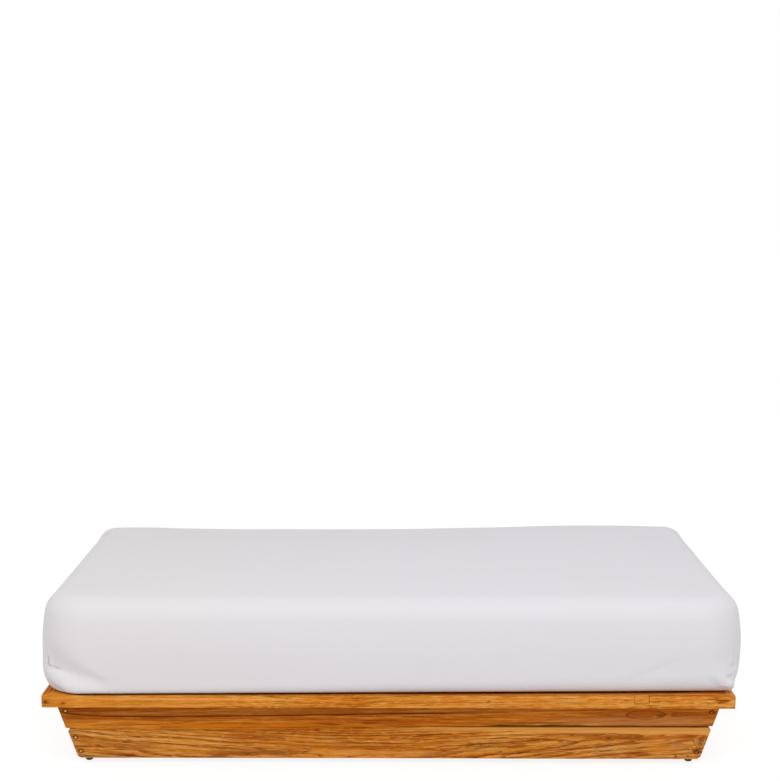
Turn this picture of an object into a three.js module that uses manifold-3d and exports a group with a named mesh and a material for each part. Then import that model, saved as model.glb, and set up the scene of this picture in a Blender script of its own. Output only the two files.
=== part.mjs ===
// A backless divan: a low teak base on six glides, with a deep mattress in a fitted cover.
// Millimetres. +X runs along the length, the front faces -Y and +Z is up.
// The origin is on the floor, under the middle of the base.

import * as THREE from "three";
import { mergeVertices } from "three/addons/utils/BufferGeometryUtils.js";
import Module from "manifold-3d";

const wasm = await Module();
wasm.setup();

// Clearances: between pieces that touch, and past a face that a cut goes through
const fitGap = 0.3;
const cutOverrunLength = 5;

// Steps in a quarter round, for an eased edge and for a plain chamfer
const easedSteps = 2;
const chamferSteps = 1;

// Rim: the flat frame of four mitred boards that the mattress rests on
const rimLength = 1900;
const rimDepth = 900;
const rimThickness = 34;
const rimWidth = 90;
const rimArrisRadius = 4;
const patchLength = 40;
const patchHeight = 20;
const patchDepth = 18;
const patchPlaceShare = 0.365;

// Apron: two leaning boards on each side, under the rim
const apronHeight = 175;
const upperBoardHeight = 74;
const apronThickness = 36;
const apronInset = 33;
const leanDegrees = 14;
const upperSeamChamferWidth = 2;
const lowerSeamChamferWidth = 9;
const lowerBoardProudDepth = 2;

// Wooden pegs that pin the front and back boards to the ends of the side boards
const pegDiameter = 9;
const pegLength = 60;
const pegSides = 12;
const upperPegShares = [0.682];
const lowerPegShares = [0.225, 0.664];

// Inner frame
const postWidth = 45;
const cleatHeight = 35;
const cleatBearingWidth = 25;
const endCleatWidth = 30;
const bearerWidth = 45;
const bearerHeight = 60;
const railWidth = 30;
const railHeight = 75;
const railPlaceShare = 0.22;
const footWidth = 60;
const frameChamferWidth = 3;

// Slats and the two tapes that space them
const slatCount = 11;
const slatWidth = 90;
const slatEndGap = 0.5;
const slatChamferWidth = 3;
const tapeThickness = 1.5;
const tapeWidth = 30;
const tapeEndInset = 8;
const tapePlaceShare = 0.3;

// Glides
const glideDiameter = 22;
const glideHeight = 16;
const glideEdgeRadius = 4;
const glideInset = 28;
const stemDiameter = 5;
const stemLength = 24;
const glideSides = 16;
const glideEdgeSteps = 3;

// Mattress: how far the fullest part of its sides stands past the rim, and how it draws in from there
const mattressEndOverhang = 20;
const mattressSideOverhang = 4;
const mattressHeight = 264;
const crownHeight = 12;
const baseDrawInDepth = 8;
const topDrawInDepth = 8;
const baseEdgeRadius = 46;
const topEdgeRadius = 68;
const planCornerRadius = 92;
const bellyHeightShare = 0.42;
const crownRingShares = [0.82, 0.58, 0.3];
const clothThickness = 1.2;
const hemWidth = 85;
const hemCornerRadius = 40;
const elasticWidth = 6;

// Heights that follow
const lean = THREE.MathUtils.degToRad(leanDegrees);
const apronLow = glideHeight + fitGap;
const apronHigh = apronLow + apronHeight;
const rimLow = apronHigh + fitGap;
const rimTop = rimLow + rimThickness;
const slatTop = rimTop - tapeThickness - fitGap;
const supportHigh = rimLow - fitGap;
const bearerLow = supportHigh - bearerHeight;
const railHigh = bearerLow - fitGap;
const railLow = railHigh - railHeight;
const mattressLow = rimTop + fitGap;

// The mattress's size over the fullest part of its sides
const mattressLength = rimLength + 2 * mattressEndOverhang;
const mattressDepth = rimDepth + 2 * mattressSideOverhang;

// Materials
function finish(colour, roughness) {
  return new THREE.MeshStandardMaterial({ color: colour, roughness, metalness: 0 });
}
const teak = finish(0xc27a34, 0.5);
const pegWood = finish(0xdca35c, 0.6);
const innerTimber = finish(0xb98a56, 0.75);
const webbing = finish(0xd9d2c2, 0.9);
const glidePlastic = finish(0x2a2523, 0.5);
const foam = finish(0xeae2cd, 0.95);
const coverCloth = finish(0xdedade, 0.9);
const elasticCord = finish(0xf0eeea, 0.9);

const divan = new THREE.Group();
const base = new THREE.Group();
const mattress = new THREE.Group();
divan.add(base, mattress);

function addPiece(group, name, geometry, material) {
  const mesh = new THREE.Mesh(geometry, material);
  mesh.name = name;
  group.add(mesh);
  return mesh;
}

// Geometry helpers

function indexedGeometry(positions, faces) {
  const geometry = new THREE.BufferGeometry();
  geometry.setAttribute("position", new THREE.Float32BufferAttribute(positions, 3));
  geometry.setIndex(faces);
  return geometry;
}

function solidFrom(geometry) {
  const bare = geometry.clone();
  bare.deleteAttribute("normal");
  bare.deleteAttribute("uv");
  const merged = mergeVertices(bare);
  return new wasm.Manifold(
    new wasm.Mesh({
      numProp: 3,
      vertProperties: merged.attributes.position.array,
      triVerts: new Uint32Array(merged.index.array),
    }),
  );
}

function geometryFrom(solid) {
  const mesh = solid.getMesh();
  return indexedGeometry(mesh.vertProperties, Array.from(mesh.triVerts));
}

function cutAway(geometry, tools) {
  const cut = tools.reduce((left, tool) => left.subtract(solidFrom(tool)), solidFrom(geometry));
  return geometryFrom(cut);
}

function boxBetween([x0, y0, z0], [x1, y1, z1]) {
  const box = new THREE.BoxGeometry(x1 - x0, y1 - y0, z1 - z0);
  return box.translate((x0 + x1) / 2, (y0 + y1) / 2, (z0 + z1) / 2);
}

// A timber along X from a convex cross-section of [y, z] points, anticlockwise seen from +X.
// startOf and endOf give the x of its two ends at each of those points, so the ends may slope.
function timberAlongX(section, startOf, endOf) {
  const count = section.length;
  const positions = [
    ...section.flatMap(([y, z]) => [startOf(y, z), y, z]),
    ...section.flatMap(([y, z]) => [endOf(y, z), y, z]),
  ];
  const faces = [];
  for (let i = 1; i < count - 1; i++) {
    faces.push(0, i + 1, i, count, count + i, count + i + 1);
  }
  for (let i = 0; i < count; i++) {
    const next = (i + 1) % count;
    faces.push(i, next, count + next, i, count + next, count + i);
  }
  return indexedGeometry(positions, faces);
}

// A timber along X with both ends alike
function evenTimber(section, endOf) {
  return timberAlongX(section, (y, z) => -endOf(y, z), endOf);
}

// A rectangle of [y, z] points with rounded corners, each an arc of so many steps
function roundedSection(yLow, yHigh, zLow, zHigh, radius, steps) {
  const corners = [
    [yHigh - radius, zLow + radius],
    [yHigh - radius, zHigh - radius],
    [yLow + radius, zHigh - radius],
    [yLow + radius, zLow + radius],
  ];
  return corners.flatMap(([y, z], corner) =>
    Array.from({ length: steps + 1 }, (_, step) => {
      const angle = ((corner - 1 + step / steps) * Math.PI) / 2;
      return [y + radius * Math.cos(angle), z + radius * Math.sin(angle)];
    }),
  );
}

// The four sides. Each is built as though it were the front, then turned about Z into its place.
// reach is half the size across the side's own face, and run is half the size along it.
// boardSetBack leaves room for the long boards at the corners, and cleatReach is how far in from
// the rim's edge the side's cleat comes. lowerProud is how far the lower board stands out past the
// upper one.
const longSide = {
  reach: rimDepth / 2,
  run: rimLength / 2,
  boardSetBack: 0,
  lowerProud: lowerBoardProudDepth,
  cleatReach: rimWidth + cleatBearingWidth,
};
const endSide = {
  reach: rimLength / 2,
  run: rimDepth / 2,
  boardSetBack: apronThickness + fitGap,
  lowerProud: 0,
  cleatReach: apronInset + apronThickness + fitGap + endCleatWidth,
};
const sides = {
  front: { ...longSide, turn: 0 },
  back: { ...longSide, turn: Math.PI },
  left: { ...endSide, turn: -Math.PI / 2 },
  right: { ...endSide, turn: Math.PI / 2 },
};

// How far the apron's face lies in from the rim's edge at a height
function faceInset(z) {
  return apronInset + (apronHigh - z) * Math.tan(lean);
}

// A cross-section that leans with the apron, between two depths behind its face.
// A positive chamfer takes that much off the outer edge at the bottom or at the top.
function leaningSection(side, low, high, near, far, chamferLow = 0, chamferHigh = 0) {
  const at = (depth, z) => [faceInset(z) + depth - side.reach, z];
  const points = [
    at(near + chamferLow, low),
    at(far, low),
    at(far, high),
    at(near + chamferHigh, high),
  ];
  if (chamferHigh > 0) points.push(at(near, high - chamferHigh));
  if (chamferLow > 0) points.push(at(near, low + chamferLow));
  return points;
}

// Rim

function rimBoard(side) {
  const inner = rimWidth - side.reach;
  const section = roundedSection(-side.reach, inner, rimLow, rimTop, rimArrisRadius, easedSteps);
  const mitreGap = fitGap / Math.SQRT2;
  return evenTimber(section, (y) => side.run - (side.reach + y) - mitreGap);
}

const patchMiddle = rimLength * patchPlaceShare;
const pocketCorners = {
  left: patchMiddle - patchLength / 2,
  right: patchMiddle + patchLength / 2,
  inner: patchDepth - rimDepth / 2,
  low: rimTop - patchHeight,
};
const pocket = boxBetween(
  [pocketCorners.left, -rimDepth / 2 - cutOverrunLength, pocketCorners.low],
  [pocketCorners.right, pocketCorners.inner, rimTop + cutOverrunLength],
);
const patchBlank = boxBetween(
  [pocketCorners.left + fitGap, -rimDepth / 2 - cutOverrunLength, pocketCorners.low + fitGap],
  [pocketCorners.right - fitGap, pocketCorners.inner - fitGap, rimTop + cutOverrunLength],
);

for (const [name, side] of Object.entries(sides)) {
  const board = rimBoard(side);
  const geometry = name === "front" ? cutAway(board, [pocket]) : board;
  addPiece(base, `rim_${name}`, geometry, teak).rotation.z = side.turn;
}
const patchSolid = solidFrom(rimBoard(sides.front)).intersect(solidFrom(patchBlank));
addPiece(base, "rim_repair_patch", geometryFrom(patchSolid), teak);

// Apron boards, with the pegs and glide stems that enter them

const upperLow = apronHigh - upperBoardHeight;
const lowerHigh = upperLow - fitGap;
const pegLevels = [
  ...upperPegShares.map((share) => ({ z: upperLow + upperBoardHeight * share, proud: 0 })),
  ...lowerPegShares.map((share) => ({
    z: apronLow + (lowerHigh - apronLow) * share,
    proud: lowerBoardProudDepth,
  })),
];

// A round pin square to the front face, from that face inwards. overrun lengthens it at both ends.
function frontPin(diameter, length, level, end, overrun) {
  const along = new THREE.Vector3(0, Math.cos(lean), Math.sin(lean));
  const face = new THREE.Vector3(
    end * (sides.front.run - faceInset(level.z) - apronThickness / 2),
    faceInset(level.z) - level.proud - sides.front.reach,
    level.z,
  );
  const middle = face.addScaledVector(along, length / 2);
  const pin = new THREE.CylinderGeometry(
    diameter / 2,
    diameter / 2,
    length + 2 * overrun,
    pegSides,
  );
  return pin.rotateX(lean).translate(middle.x, middle.y, middle.z);
}

const cornerPlaces = [];
for (const [row, turn] of [["front", 0], ["back", Math.PI]]) {
  for (const end of [-1, 1]) {
    const hand = end * Math.cos(turn) < 0 ? "left" : "right";
    cornerPlaces.push({ name: `${row}_${hand}`, turn, end });
  }
}

const pegBores = [];
for (const corner of cornerPlaces) {
  pegLevels.forEach((level, index) => {
    const peg = frontPin(pegDiameter, pegLength, level, corner.end, 0);
    const bore = frontPin(pegDiameter + 2 * fitGap, pegLength, level, corner.end, fitGap);
    addPiece(base, `corner_peg_${corner.name}_${index + 1}`, peg, pegWood).rotation.z = corner.turn;
    pegBores.push(bore.rotateZ(corner.turn));
  });
}

const glideCorner = faceInset(apronLow) + glideInset;
const glidePlaces = [
  ["front_left", glideCorner - rimLength / 2, glideCorner - rimDepth / 2],
  ["front_right", rimLength / 2 - glideCorner, glideCorner - rimDepth / 2],
  ["back_left", glideCorner - rimLength / 2, rimDepth / 2 - glideCorner],
  ["back_right", rimLength / 2 - glideCorner, rimDepth / 2 - glideCorner],
  ["centre_left", -rimLength * railPlaceShare, 0],
  ["centre_right", rimLength * railPlaceShare, 0],
];
const stemBores = glidePlaces.map(([, x, y]) => {
  const radius = stemDiameter / 2 + fitGap;
  const length = stemLength + fitGap + cutOverrunLength;
  const bore = new THREE.CylinderGeometry(radius, radius, length, glideSides);
  return bore.rotateX(Math.PI / 2).translate(x, y, apronLow + length / 2 - cutOverrunLength);
});

for (const [name, side] of Object.entries(sides)) {
  const cuts = [...pegBores, ...stemBores].map((bore) => bore.clone().rotateZ(-side.turn));
  const endOf = (y, z) => side.run - faceInset(z) - side.boardSetBack;
  const upper = evenTimber(
    leaningSection(side, upperLow, apronHigh, 0, apronThickness, upperSeamChamferWidth),
    endOf,
  );
  const lowerFace = -side.lowerProud;
  const lower = evenTimber(
    leaningSection(side, apronLow, lowerHigh, lowerFace, apronThickness, 0, lowerSeamChamferWidth),
    endOf,
  );
  addPiece(base, `apron_upper_${name}`, cutAway(upper, cuts), teak).rotation.z = side.turn;
  addPiece(base, `apron_lower_${name}`, cutAway(lower, cuts), teak).rotation.z = side.turn;
}

// Corner posts lean with both of the aprons that they stand behind
const postNear = apronThickness + fitGap;
for (const { name, turn, end } of cornerPlaces) {
  const side = sides.front;
  const section = leaningSection(side, apronLow, apronHigh, postNear, postNear + postWidth);
  const outer = (z) => side.run - faceInset(z) - postNear;
  const inner = (z) => outer(z) - postWidth;
  const post =
    end < 0
      ? timberAlongX(section, (y, z) => -outer(z), (y, z) => -inner(z))
      : timberAlongX(section, (y, z) => inner(z), (y, z) => outer(z));
  addPiece(base, `corner_post_${name}`, post, innerTimber).rotation.z = turn;
}

// Cleats along the inside of the aprons, between the posts: the rim and the slats rest on them
const cleatLow = supportHigh - cleatHeight;
for (const [name, side] of Object.entries(sides)) {
  const outer = (z) => faceInset(z) + apronThickness + fitGap - side.reach;
  const inner = side.cleatReach - side.reach;
  const section = [
    [outer(cleatLow), cleatLow],
    [inner, cleatLow],
    [inner, supportHigh],
    [outer(supportHigh), supportHigh],
  ];
  const endOf = (y, z) => side.run - faceInset(z) - postNear - postWidth - fitGap;
  addPiece(base, `cleat_${name}`, evenTimber(section, endOf), innerTimber).rotation.z = side.turn;
}

// Centre bearer under the slats, the two cross rails that carry it, and their feet
const bearerSection = roundedSection(
  -bearerWidth / 2,
  bearerWidth / 2,
  bearerLow,
  supportHigh,
  frameChamferWidth,
  chamferSteps,
);
const bearerEnd = rimLength / 2 - sides.left.cleatReach - fitGap;
addPiece(base, "centre_bearer", evenTimber(bearerSection, () => bearerEnd), innerTimber);

for (const [hand, direction] of [["left", -1], ["right", 1]]) {
  const place = direction * rimLength * railPlaceShare;
  const railSection = roundedSection(
    -railWidth / 2,
    railWidth / 2,
    railLow,
    railHigh,
    frameChamferWidth,
    chamferSteps,
  );
  const endOf = (y, z) => rimDepth / 2 - faceInset(z) - postNear;
  const rail = addPiece(base, `cross_rail_${hand}`, evenTimber(railSection, endOf), innerTimber);
  rail.rotation.z = Math.PI / 2;
  rail.position.x = place;

  const foot = boxBetween(
    [place - footWidth / 2, -footWidth / 2, apronLow],
    [place + footWidth / 2, footWidth / 2, railLow - fitGap],
  );
  addPiece(base, `centre_foot_${hand}`, cutAway(foot, stemBores), innerTimber);
}

// Glides: a hard foot with a rounded edge, and a stem that is driven into the timber above it
function glideShape() {
  const radius = glideDiameter / 2;
  const edge = Array.from({ length: glideEdgeSteps + 1 }, (_, step) => {
    const angle = ((step / glideEdgeSteps) * Math.PI) / 2;
    return new THREE.Vector2(
      radius - glideEdgeRadius + glideEdgeRadius * Math.sin(angle),
      glideEdgeRadius - glideEdgeRadius * Math.cos(angle),
    );
  });
  const profile = [
    new THREE.Vector2(0, 0),
    ...edge,
    new THREE.Vector2(radius, glideHeight),
    new THREE.Vector2(stemDiameter / 2, glideHeight),
    new THREE.Vector2(stemDiameter / 2, glideHeight + stemLength),
    new THREE.Vector2(0, glideHeight + stemLength),
  ];
  return new THREE.LatheGeometry(profile, glideSides).rotateX(Math.PI / 2);
}
for (const [name, x, y] of glidePlaces) {
  addPiece(base, `glide_${name}`, glideShape(), glidePlastic).position.set(x, y, 0);
}

// Slats lie across, between the front and back rim boards, and two tapes space them
const slatHalfLength = rimDepth / 2 - rimWidth - slatEndGap;
const slatOpening = rimLength - 2 * rimWidth;
const slatSpace = (slatOpening - slatCount * slatWidth) / (slatCount + 1);
const slatPitch = slatWidth + slatSpace;
const slatSection = roundedSection(
  -slatWidth / 2,
  slatWidth / 2,
  rimLow,
  slatTop,
  slatChamferWidth,
  chamferSteps,
);
for (let i = 0; i < slatCount; i++) {
  const slat = addPiece(
    base,
    `slat_${String(i + 1).padStart(2, "0")}`,
    evenTimber(slatSection, () => slatHalfLength),
    innerTimber,
  );
  slat.rotation.z = Math.PI / 2;
  slat.position.x = (i - (slatCount - 1) / 2) * slatPitch;
}
const tapeHalfLength = ((slatCount - 1) * slatPitch + slatWidth) / 2 - tapeEndInset;
for (const [name, direction] of [["front", -1], ["back", 1]]) {
  const middle = direction * 2 * slatHalfLength * tapePlaceShare;
  const tape = boxBetween(
    [-tapeHalfLength, middle - tapeWidth / 2, slatTop + fitGap],
    [tapeHalfLength, middle + tapeWidth / 2, rimTop],
  );
  addPiece(base, `slat_tape_${name}`, tape, webbing);
}

// Mattress

const cornerSteps = 4;
const lengthSteps = 6;
const depthSteps = 3;
const baseEdgeSteps = 3;
const topEdgeSteps = 4;

// A rounded rectangle as an anticlockwise ring of points, the same count for any size
function planRing(halfX, halfY, radius, z) {
  const ring = [];
  const corners = [
    [1, -1, lengthSteps],
    [1, 1, depthSteps],
    [-1, 1, lengthSteps],
    [-1, -1, depthSteps],
  ];
  const arcPoint = (corner, step) => {
    const [sx, sy] = corners[corner];
    const angle = ((corner - 1 + step / cornerSteps) * Math.PI) / 2;
    return [
      sx * (halfX - radius) + radius * Math.cos(angle),
      sy * (halfY - radius) + radius * Math.sin(angle),
    ];
  };
  corners.forEach((_, corner) => {
    for (let step = 0; step <= cornerSteps; step++) {
      ring.push(arcPoint(corner, step));
    }
    const next = (corner + 1) % corners.length;
    const sideSteps = corners[next][2];
    const from = arcPoint(corner, cornerSteps);
    const to = arcPoint(next, 0);
    for (let step = 1; step < sideSteps; step++) {
      const share = step / sideSteps;
      ring.push([from[0] + (to[0] - from[0]) * share, from[1] + (to[1] - from[1]) * share]);
    }
  });
  return ring.map(([x, y]) => [x, y, z]);
}

// The rings of the mattress's skin, from the turned-under hem, over the rounded bottom edge, the
// full belly of the sides and the soft top edge, to the crown. depth is how far under the outer
// cloth this layer lies.
function skinRings(depth) {
  const baseRadius = baseEdgeRadius - depth;
  const topRadius = topEdgeRadius - depth;
  const bellyHeight = mattressHeight * bellyHeightShare;
  const topArcLow = mattressHeight - topEdgeRadius;
  const profile = [[hemWidth, depth]];
  for (let step = 0; step <= baseEdgeSteps; step++) {
    const angle = ((step / baseEdgeSteps) * Math.PI) / 2;
    profile.push([
      baseDrawInDepth + baseEdgeRadius - baseRadius * Math.sin(angle),
      baseEdgeRadius - baseRadius * Math.cos(angle),
    ]);
  }
  const bellyPoint = (share, drawIn, from) => [
    depth + (drawIn * (1 + Math.cos(Math.PI * share))) / 2,
    from + (bellyHeight - from) * share,
  ];
  const halfShare = 1 / 2;
  profile.push(bellyPoint(halfShare, baseDrawInDepth, baseEdgeRadius));
  profile.push(bellyPoint(1, baseDrawInDepth, baseEdgeRadius));
  profile.push(bellyPoint(halfShare, topDrawInDepth, topArcLow));
  for (let step = 0; step <= topEdgeSteps; step++) {
    const angle = ((step / topEdgeSteps) * Math.PI) / 2;
    profile.push([
      topDrawInDepth + topEdgeRadius - topRadius * Math.cos(angle),
      topArcLow + topRadius * Math.sin(angle),
    ]);
  }
  const rings = profile.map(([inset, z]) => {
    const radius = Math.max(planCornerRadius - inset, hemCornerRadius);
    return planRing(mattressLength / 2 - inset, mattressDepth / 2 - inset, radius, mattressLow + z);
  });
  const rimRing = rings[rings.length - 1];
  for (const share of crownRingShares) {
    rings.push(
      rimRing.map(([x, y, z]) => [x * share, y * share, z + crownHeight * (1 - share ** 2)]),
    );
  }
  return rings;
}

// Faces of a sheet of rings, closed with a point over the last one. It faces outwards when the
// rings run anticlockwise and climb.
function ringFaces(ringCount, ringLength, first, facesOut) {
  const faces = [];
  const push = (a, b, c) => (facesOut ? faces.push(a, b, c) : faces.push(a, c, b));
  for (let ring = 0; ring < ringCount - 1; ring++) {
    for (let i = 0; i < ringLength; i++) {
      const next = (i + 1) % ringLength;
      const low = first + ring * ringLength;
      const high = low + ringLength;
      push(low + i, low + next, high + next);
      push(low + i, high + next, high + i);
    }
  }
  const last = first + (ringCount - 1) * ringLength;
  const pole = last + ringLength;
  for (let i = 0; i < ringLength; i++) {
    push(last + i, last + ((i + 1) % ringLength), pole);
  }
  return faces;
}

function crownPoint(depth) {
  return [0, 0, mattressLow + mattressHeight + crownHeight - depth];
}

function coreShape() {
  const depth = clothThickness + fitGap;
  const rings = skinRings(depth);
  const ringLength = rings[0].length;
  const points = [...rings.flat(), crownPoint(depth), [0, 0, mattressLow + depth]];
  const faces = ringFaces(rings.length, ringLength, 0, true);
  for (let i = 0; i < ringLength; i++) {
    faces.push((i + 1) % ringLength, i, points.length - 1);
  }
  return indexedGeometry(points.flat(), faces);
}

function coverShape() {
  const outer = skinRings(0);
  const inner = skinRings(clothThickness);
  const ringLength = outer[0].length;
  const points = [...outer.flat(), crownPoint(0), ...inner.flat(), crownPoint(clothThickness)];
  const innerFirst = outer.length * ringLength + 1;
  const faces = [
    ...ringFaces(outer.length, ringLength, 0, true),
    ...ringFaces(inner.length, ringLength, innerFirst, false),
  ];
  for (let i = 0; i < ringLength; i++) {
    const next = (i + 1) % ringLength;
    faces.push(i, innerFirst + i, innerFirst + next, i, innerFirst + next, next);
  }
  return indexedGeometry(points.flat(), faces);
}

// A flat elastic band, sewn along the inner edge of the hem
function elasticShape() {
  const bandRing = (inset, z) =>
    planRing(mattressLength / 2 - inset, mattressDepth / 2 - inset, hemCornerRadius, z);
  const outerInset = hemWidth + fitGap;
  const innerInset = outerInset + elasticWidth;
  const low = mattressLow;
  const high = mattressLow + clothThickness;
  const rings = [
    bandRing(outerInset, low),
    bandRing(outerInset, high),
    bandRing(innerInset, high),
    bandRing(innerInset, low),
  ];
  const ringLength = rings[0].length;
  const faces = [];
  rings.forEach((_, ring) => {
    const from = ring * ringLength;
    const to = ((ring + 1) % rings.length) * ringLength;
    for (let i = 0; i < ringLength; i++) {
      const next = (i + 1) % ringLength;
      faces.push(from + i, from + next, to + next, from + i, to + next, to + i);
    }
  });
  return indexedGeometry(rings.flat(2), faces);
}

addPiece(mattress, "mattress_core", coreShape(), foam);
addPiece(mattress, "fitted_cover", coverShape(), coverCloth);
addPiece(mattress, "hem_elastic", elasticShape(), elasticCord);

export default divan;
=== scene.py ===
# %% [markdown]
# # A teak divan with a deep mattress in a fitted cover
#
# The divan is a low teak base, with leaning plank sides under an overhanging rim, and a mattress
# in a smooth, pale cover. The construction model is loaded first and gives every size and place.
# This script then makes the surfaces that the eye sees: worn boards with their grain, the cloth,
# the plastic glides and the rough timber inside.

import bmesh
import bpy
import numpy as np
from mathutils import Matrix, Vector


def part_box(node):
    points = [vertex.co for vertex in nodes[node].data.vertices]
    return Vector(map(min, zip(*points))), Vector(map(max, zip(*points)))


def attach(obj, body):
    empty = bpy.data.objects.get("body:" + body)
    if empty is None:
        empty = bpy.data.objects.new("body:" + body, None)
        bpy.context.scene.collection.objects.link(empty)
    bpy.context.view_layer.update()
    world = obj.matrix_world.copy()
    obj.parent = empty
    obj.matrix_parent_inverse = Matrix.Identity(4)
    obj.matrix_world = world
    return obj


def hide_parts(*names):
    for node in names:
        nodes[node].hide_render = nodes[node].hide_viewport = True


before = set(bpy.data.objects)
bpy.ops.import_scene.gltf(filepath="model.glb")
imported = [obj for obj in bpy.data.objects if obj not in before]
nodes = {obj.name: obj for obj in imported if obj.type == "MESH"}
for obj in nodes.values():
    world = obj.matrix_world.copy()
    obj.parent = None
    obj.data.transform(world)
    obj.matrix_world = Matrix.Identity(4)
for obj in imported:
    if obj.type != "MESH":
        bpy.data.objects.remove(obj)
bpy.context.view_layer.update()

# %% [markdown]
# ## Sizes
#
# Most places are read from the construction model's boxes. What a box can't tell, such as how far
# the sides lean, is named here, in metres.

# %% Sizes that the boxes give, and those that they don't
rim_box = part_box("rim_front")
upper_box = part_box("apron_upper_front")
lower_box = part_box("apron_lower_front")
cover_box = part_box("fitted_cover")

HALF_LENGTH = rim_box[1].x
HALF_DEPTH = -rim_box[0].y
RIM_LOW, RIM_TOP = rim_box[0].z, rim_box[1].z
RIM_HEIGHT = RIM_TOP - RIM_LOW
RIM_WIDTH = rim_box[1].y - rim_box[0].y
SLAT_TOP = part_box("slat_01")[1].z

LEAN_ANGLE = np.radians(14)
LEAN = np.tan(LEAN_ANGLE)
APRON_INSET = 0.033
APRON_THICKNESS = 0.036
APRON_TOP = upper_box[1].z
LOWER_PROUD = 0.002
PEG_RADIUS = 0.0045
TOUCH = 0.0003

print(f"rim {2 * HALF_LENGTH:.3f} by {2 * HALF_DEPTH:.3f} m, its top {RIM_TOP:.4f} m up")


def face_inset(z):
    """How far the apron's face lies in from the rim's edge: the inset under the rim, and the
    drop below it times the tangent of the lean."""
    return APRON_INSET + (APRON_TOP - z) * LEAN


def middle_of(node):
    """The middle of a node's box."""
    low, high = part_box(node)
    return (low + high) / 2


# %% [markdown]
# ## From numbers to meshes
#
# A surface here is a grid of points, worked out at once with numpy. One helper turns any such
# grid into a mesh. It closes the grid round its second direction, puts lids on its ends, merges
# what coincides and makes the faces point outwards.

# %% Grids of points into meshes
SHARP_ANGLE = np.radians(42)
MERGE_DISTANCE = 1e-6


def grid_of(x, y, z):
    """Three arrays, stretched to one shape, as the points of a grid."""
    return np.stack(np.broadcast_arrays(x, y, z), axis=-1)


def grid_faces(rows, columns, first=0):
    """Quads between each row of points and the next, with the last column joined to the first."""
    i = np.arange(rows - 1)[:, None]
    j = np.arange(columns)[None, :]
    after = (j + 1) % columns
    corners = [i * columns + j, i * columns + after, (i + 1) * columns + after, (i + 1) * columns + j]
    return np.stack(np.broadcast_arrays(*corners), axis=-1).reshape(-1, 4) + first


def closed_faces(rows, columns, first=0):
    """The same quads, and a lid on the first row and on the last."""
    lid = np.arange(columns) + first
    return [*grid_faces(rows, columns, first), lid[::-1], (rows - 1) * columns + lid]


def mesh_from(name, points, faces, marks=None):
    """A mesh object from points and faces, with the named point marks stored on it."""
    mesh = bpy.data.meshes.new(name)
    mesh.from_pydata(points.reshape(-1, 3).tolist(), [], [list(map(int, face)) for face in faces])
    for mark, values in (marks or {}).items():
        layer = mesh.attributes.new(mark, "FLOAT", "POINT")
        layer.data.foreach_set("value", values.astype(np.float32).ravel())
    piece = bpy.data.objects.new(name, mesh)
    bpy.context.scene.collection.objects.link(piece)
    return piece


def close_up(piece):
    """Merges what coincides, turns the faces outwards and rounds the shading where it is smooth."""
    work = bmesh.new()
    work.from_mesh(piece.data)
    bmesh.ops.remove_doubles(work, verts=work.verts, dist=MERGE_DISTANCE)
    bmesh.ops.dissolve_degenerate(work, edges=work.edges, dist=MERGE_DISTANCE)
    bmesh.ops.recalc_face_normals(work, faces=work.faces)
    work.to_mesh(piece.data)
    work.free()
    piece.data.shade_smooth()
    piece.data.set_sharp_from_angle(angle=SHARP_ANGLE)
    return piece


def bar(name, points, marks=None):
    """A closed bar: rows of points carried along a path, each row a ring, with a lid on each end."""
    return close_up(mesh_from(name, points, closed_faces(*points.shape[:2]), marks))


def finish_piece(piece, body, slot, material, *replaced):
    """Puts a finished piece on its body, with its material, in the place of what it stands for."""
    piece.data.materials.clear()
    piece.data.materials.append(material)
    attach(piece, body)
    if replaced:
        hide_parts(*replaced)


# %% [markdown]
# Nothing on an old, handmade piece is quite straight. A gentle drift, the sum of a few waves of
# unlike length, is enough, and a seed makes it the same on every run.

# %% Gentle drifts, steps and bells
def drift(along, seed, wavelength, waves=5):
    """A smooth curve between about -1 and 1: a sum of sines whose lengths are spread round the
    given one and whose starts are random."""
    rng = np.random.default_rng(seed)
    total = np.zeros_like(np.asarray(along, dtype=float))
    for wave in range(waves):
        length = wavelength * rng.uniform(0.45, 1.9)
        total += np.sin(2 * np.pi * (along / length + rng.random())) * rng.uniform(0.5, 1.0)
    return total / np.sqrt(waves)


def soft_step(x, low, high):
    """0 below low and 1 above high, with a smooth rise between them."""
    t = np.clip((x - low) / (high - low), 0, 1)
    return t * t * (3 - 2 * t)


def between(x, rise_from, rise_to, fall_from, fall_to):
    """1 inside a stretch and 0 outside it, with a smooth rise and a smooth fall."""
    return soft_step(x, rise_from, rise_to) * (1 - soft_step(x, fall_from, fall_to))


def hump(*terms):
    """A bell: exp of minus the sum of squares of each distance over its width."""
    return np.exp(-sum((np.asarray(away) / width) ** 2 for away, width in terms))


# %% [markdown]
# ## Shader sums as Python sums
#
# Blender's materials are graphs of nodes, and a sum in them takes a node for each sign. Wire wraps
# one output, and Python's own signs then add the nodes, so that a pattern reads as a formula.

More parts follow.
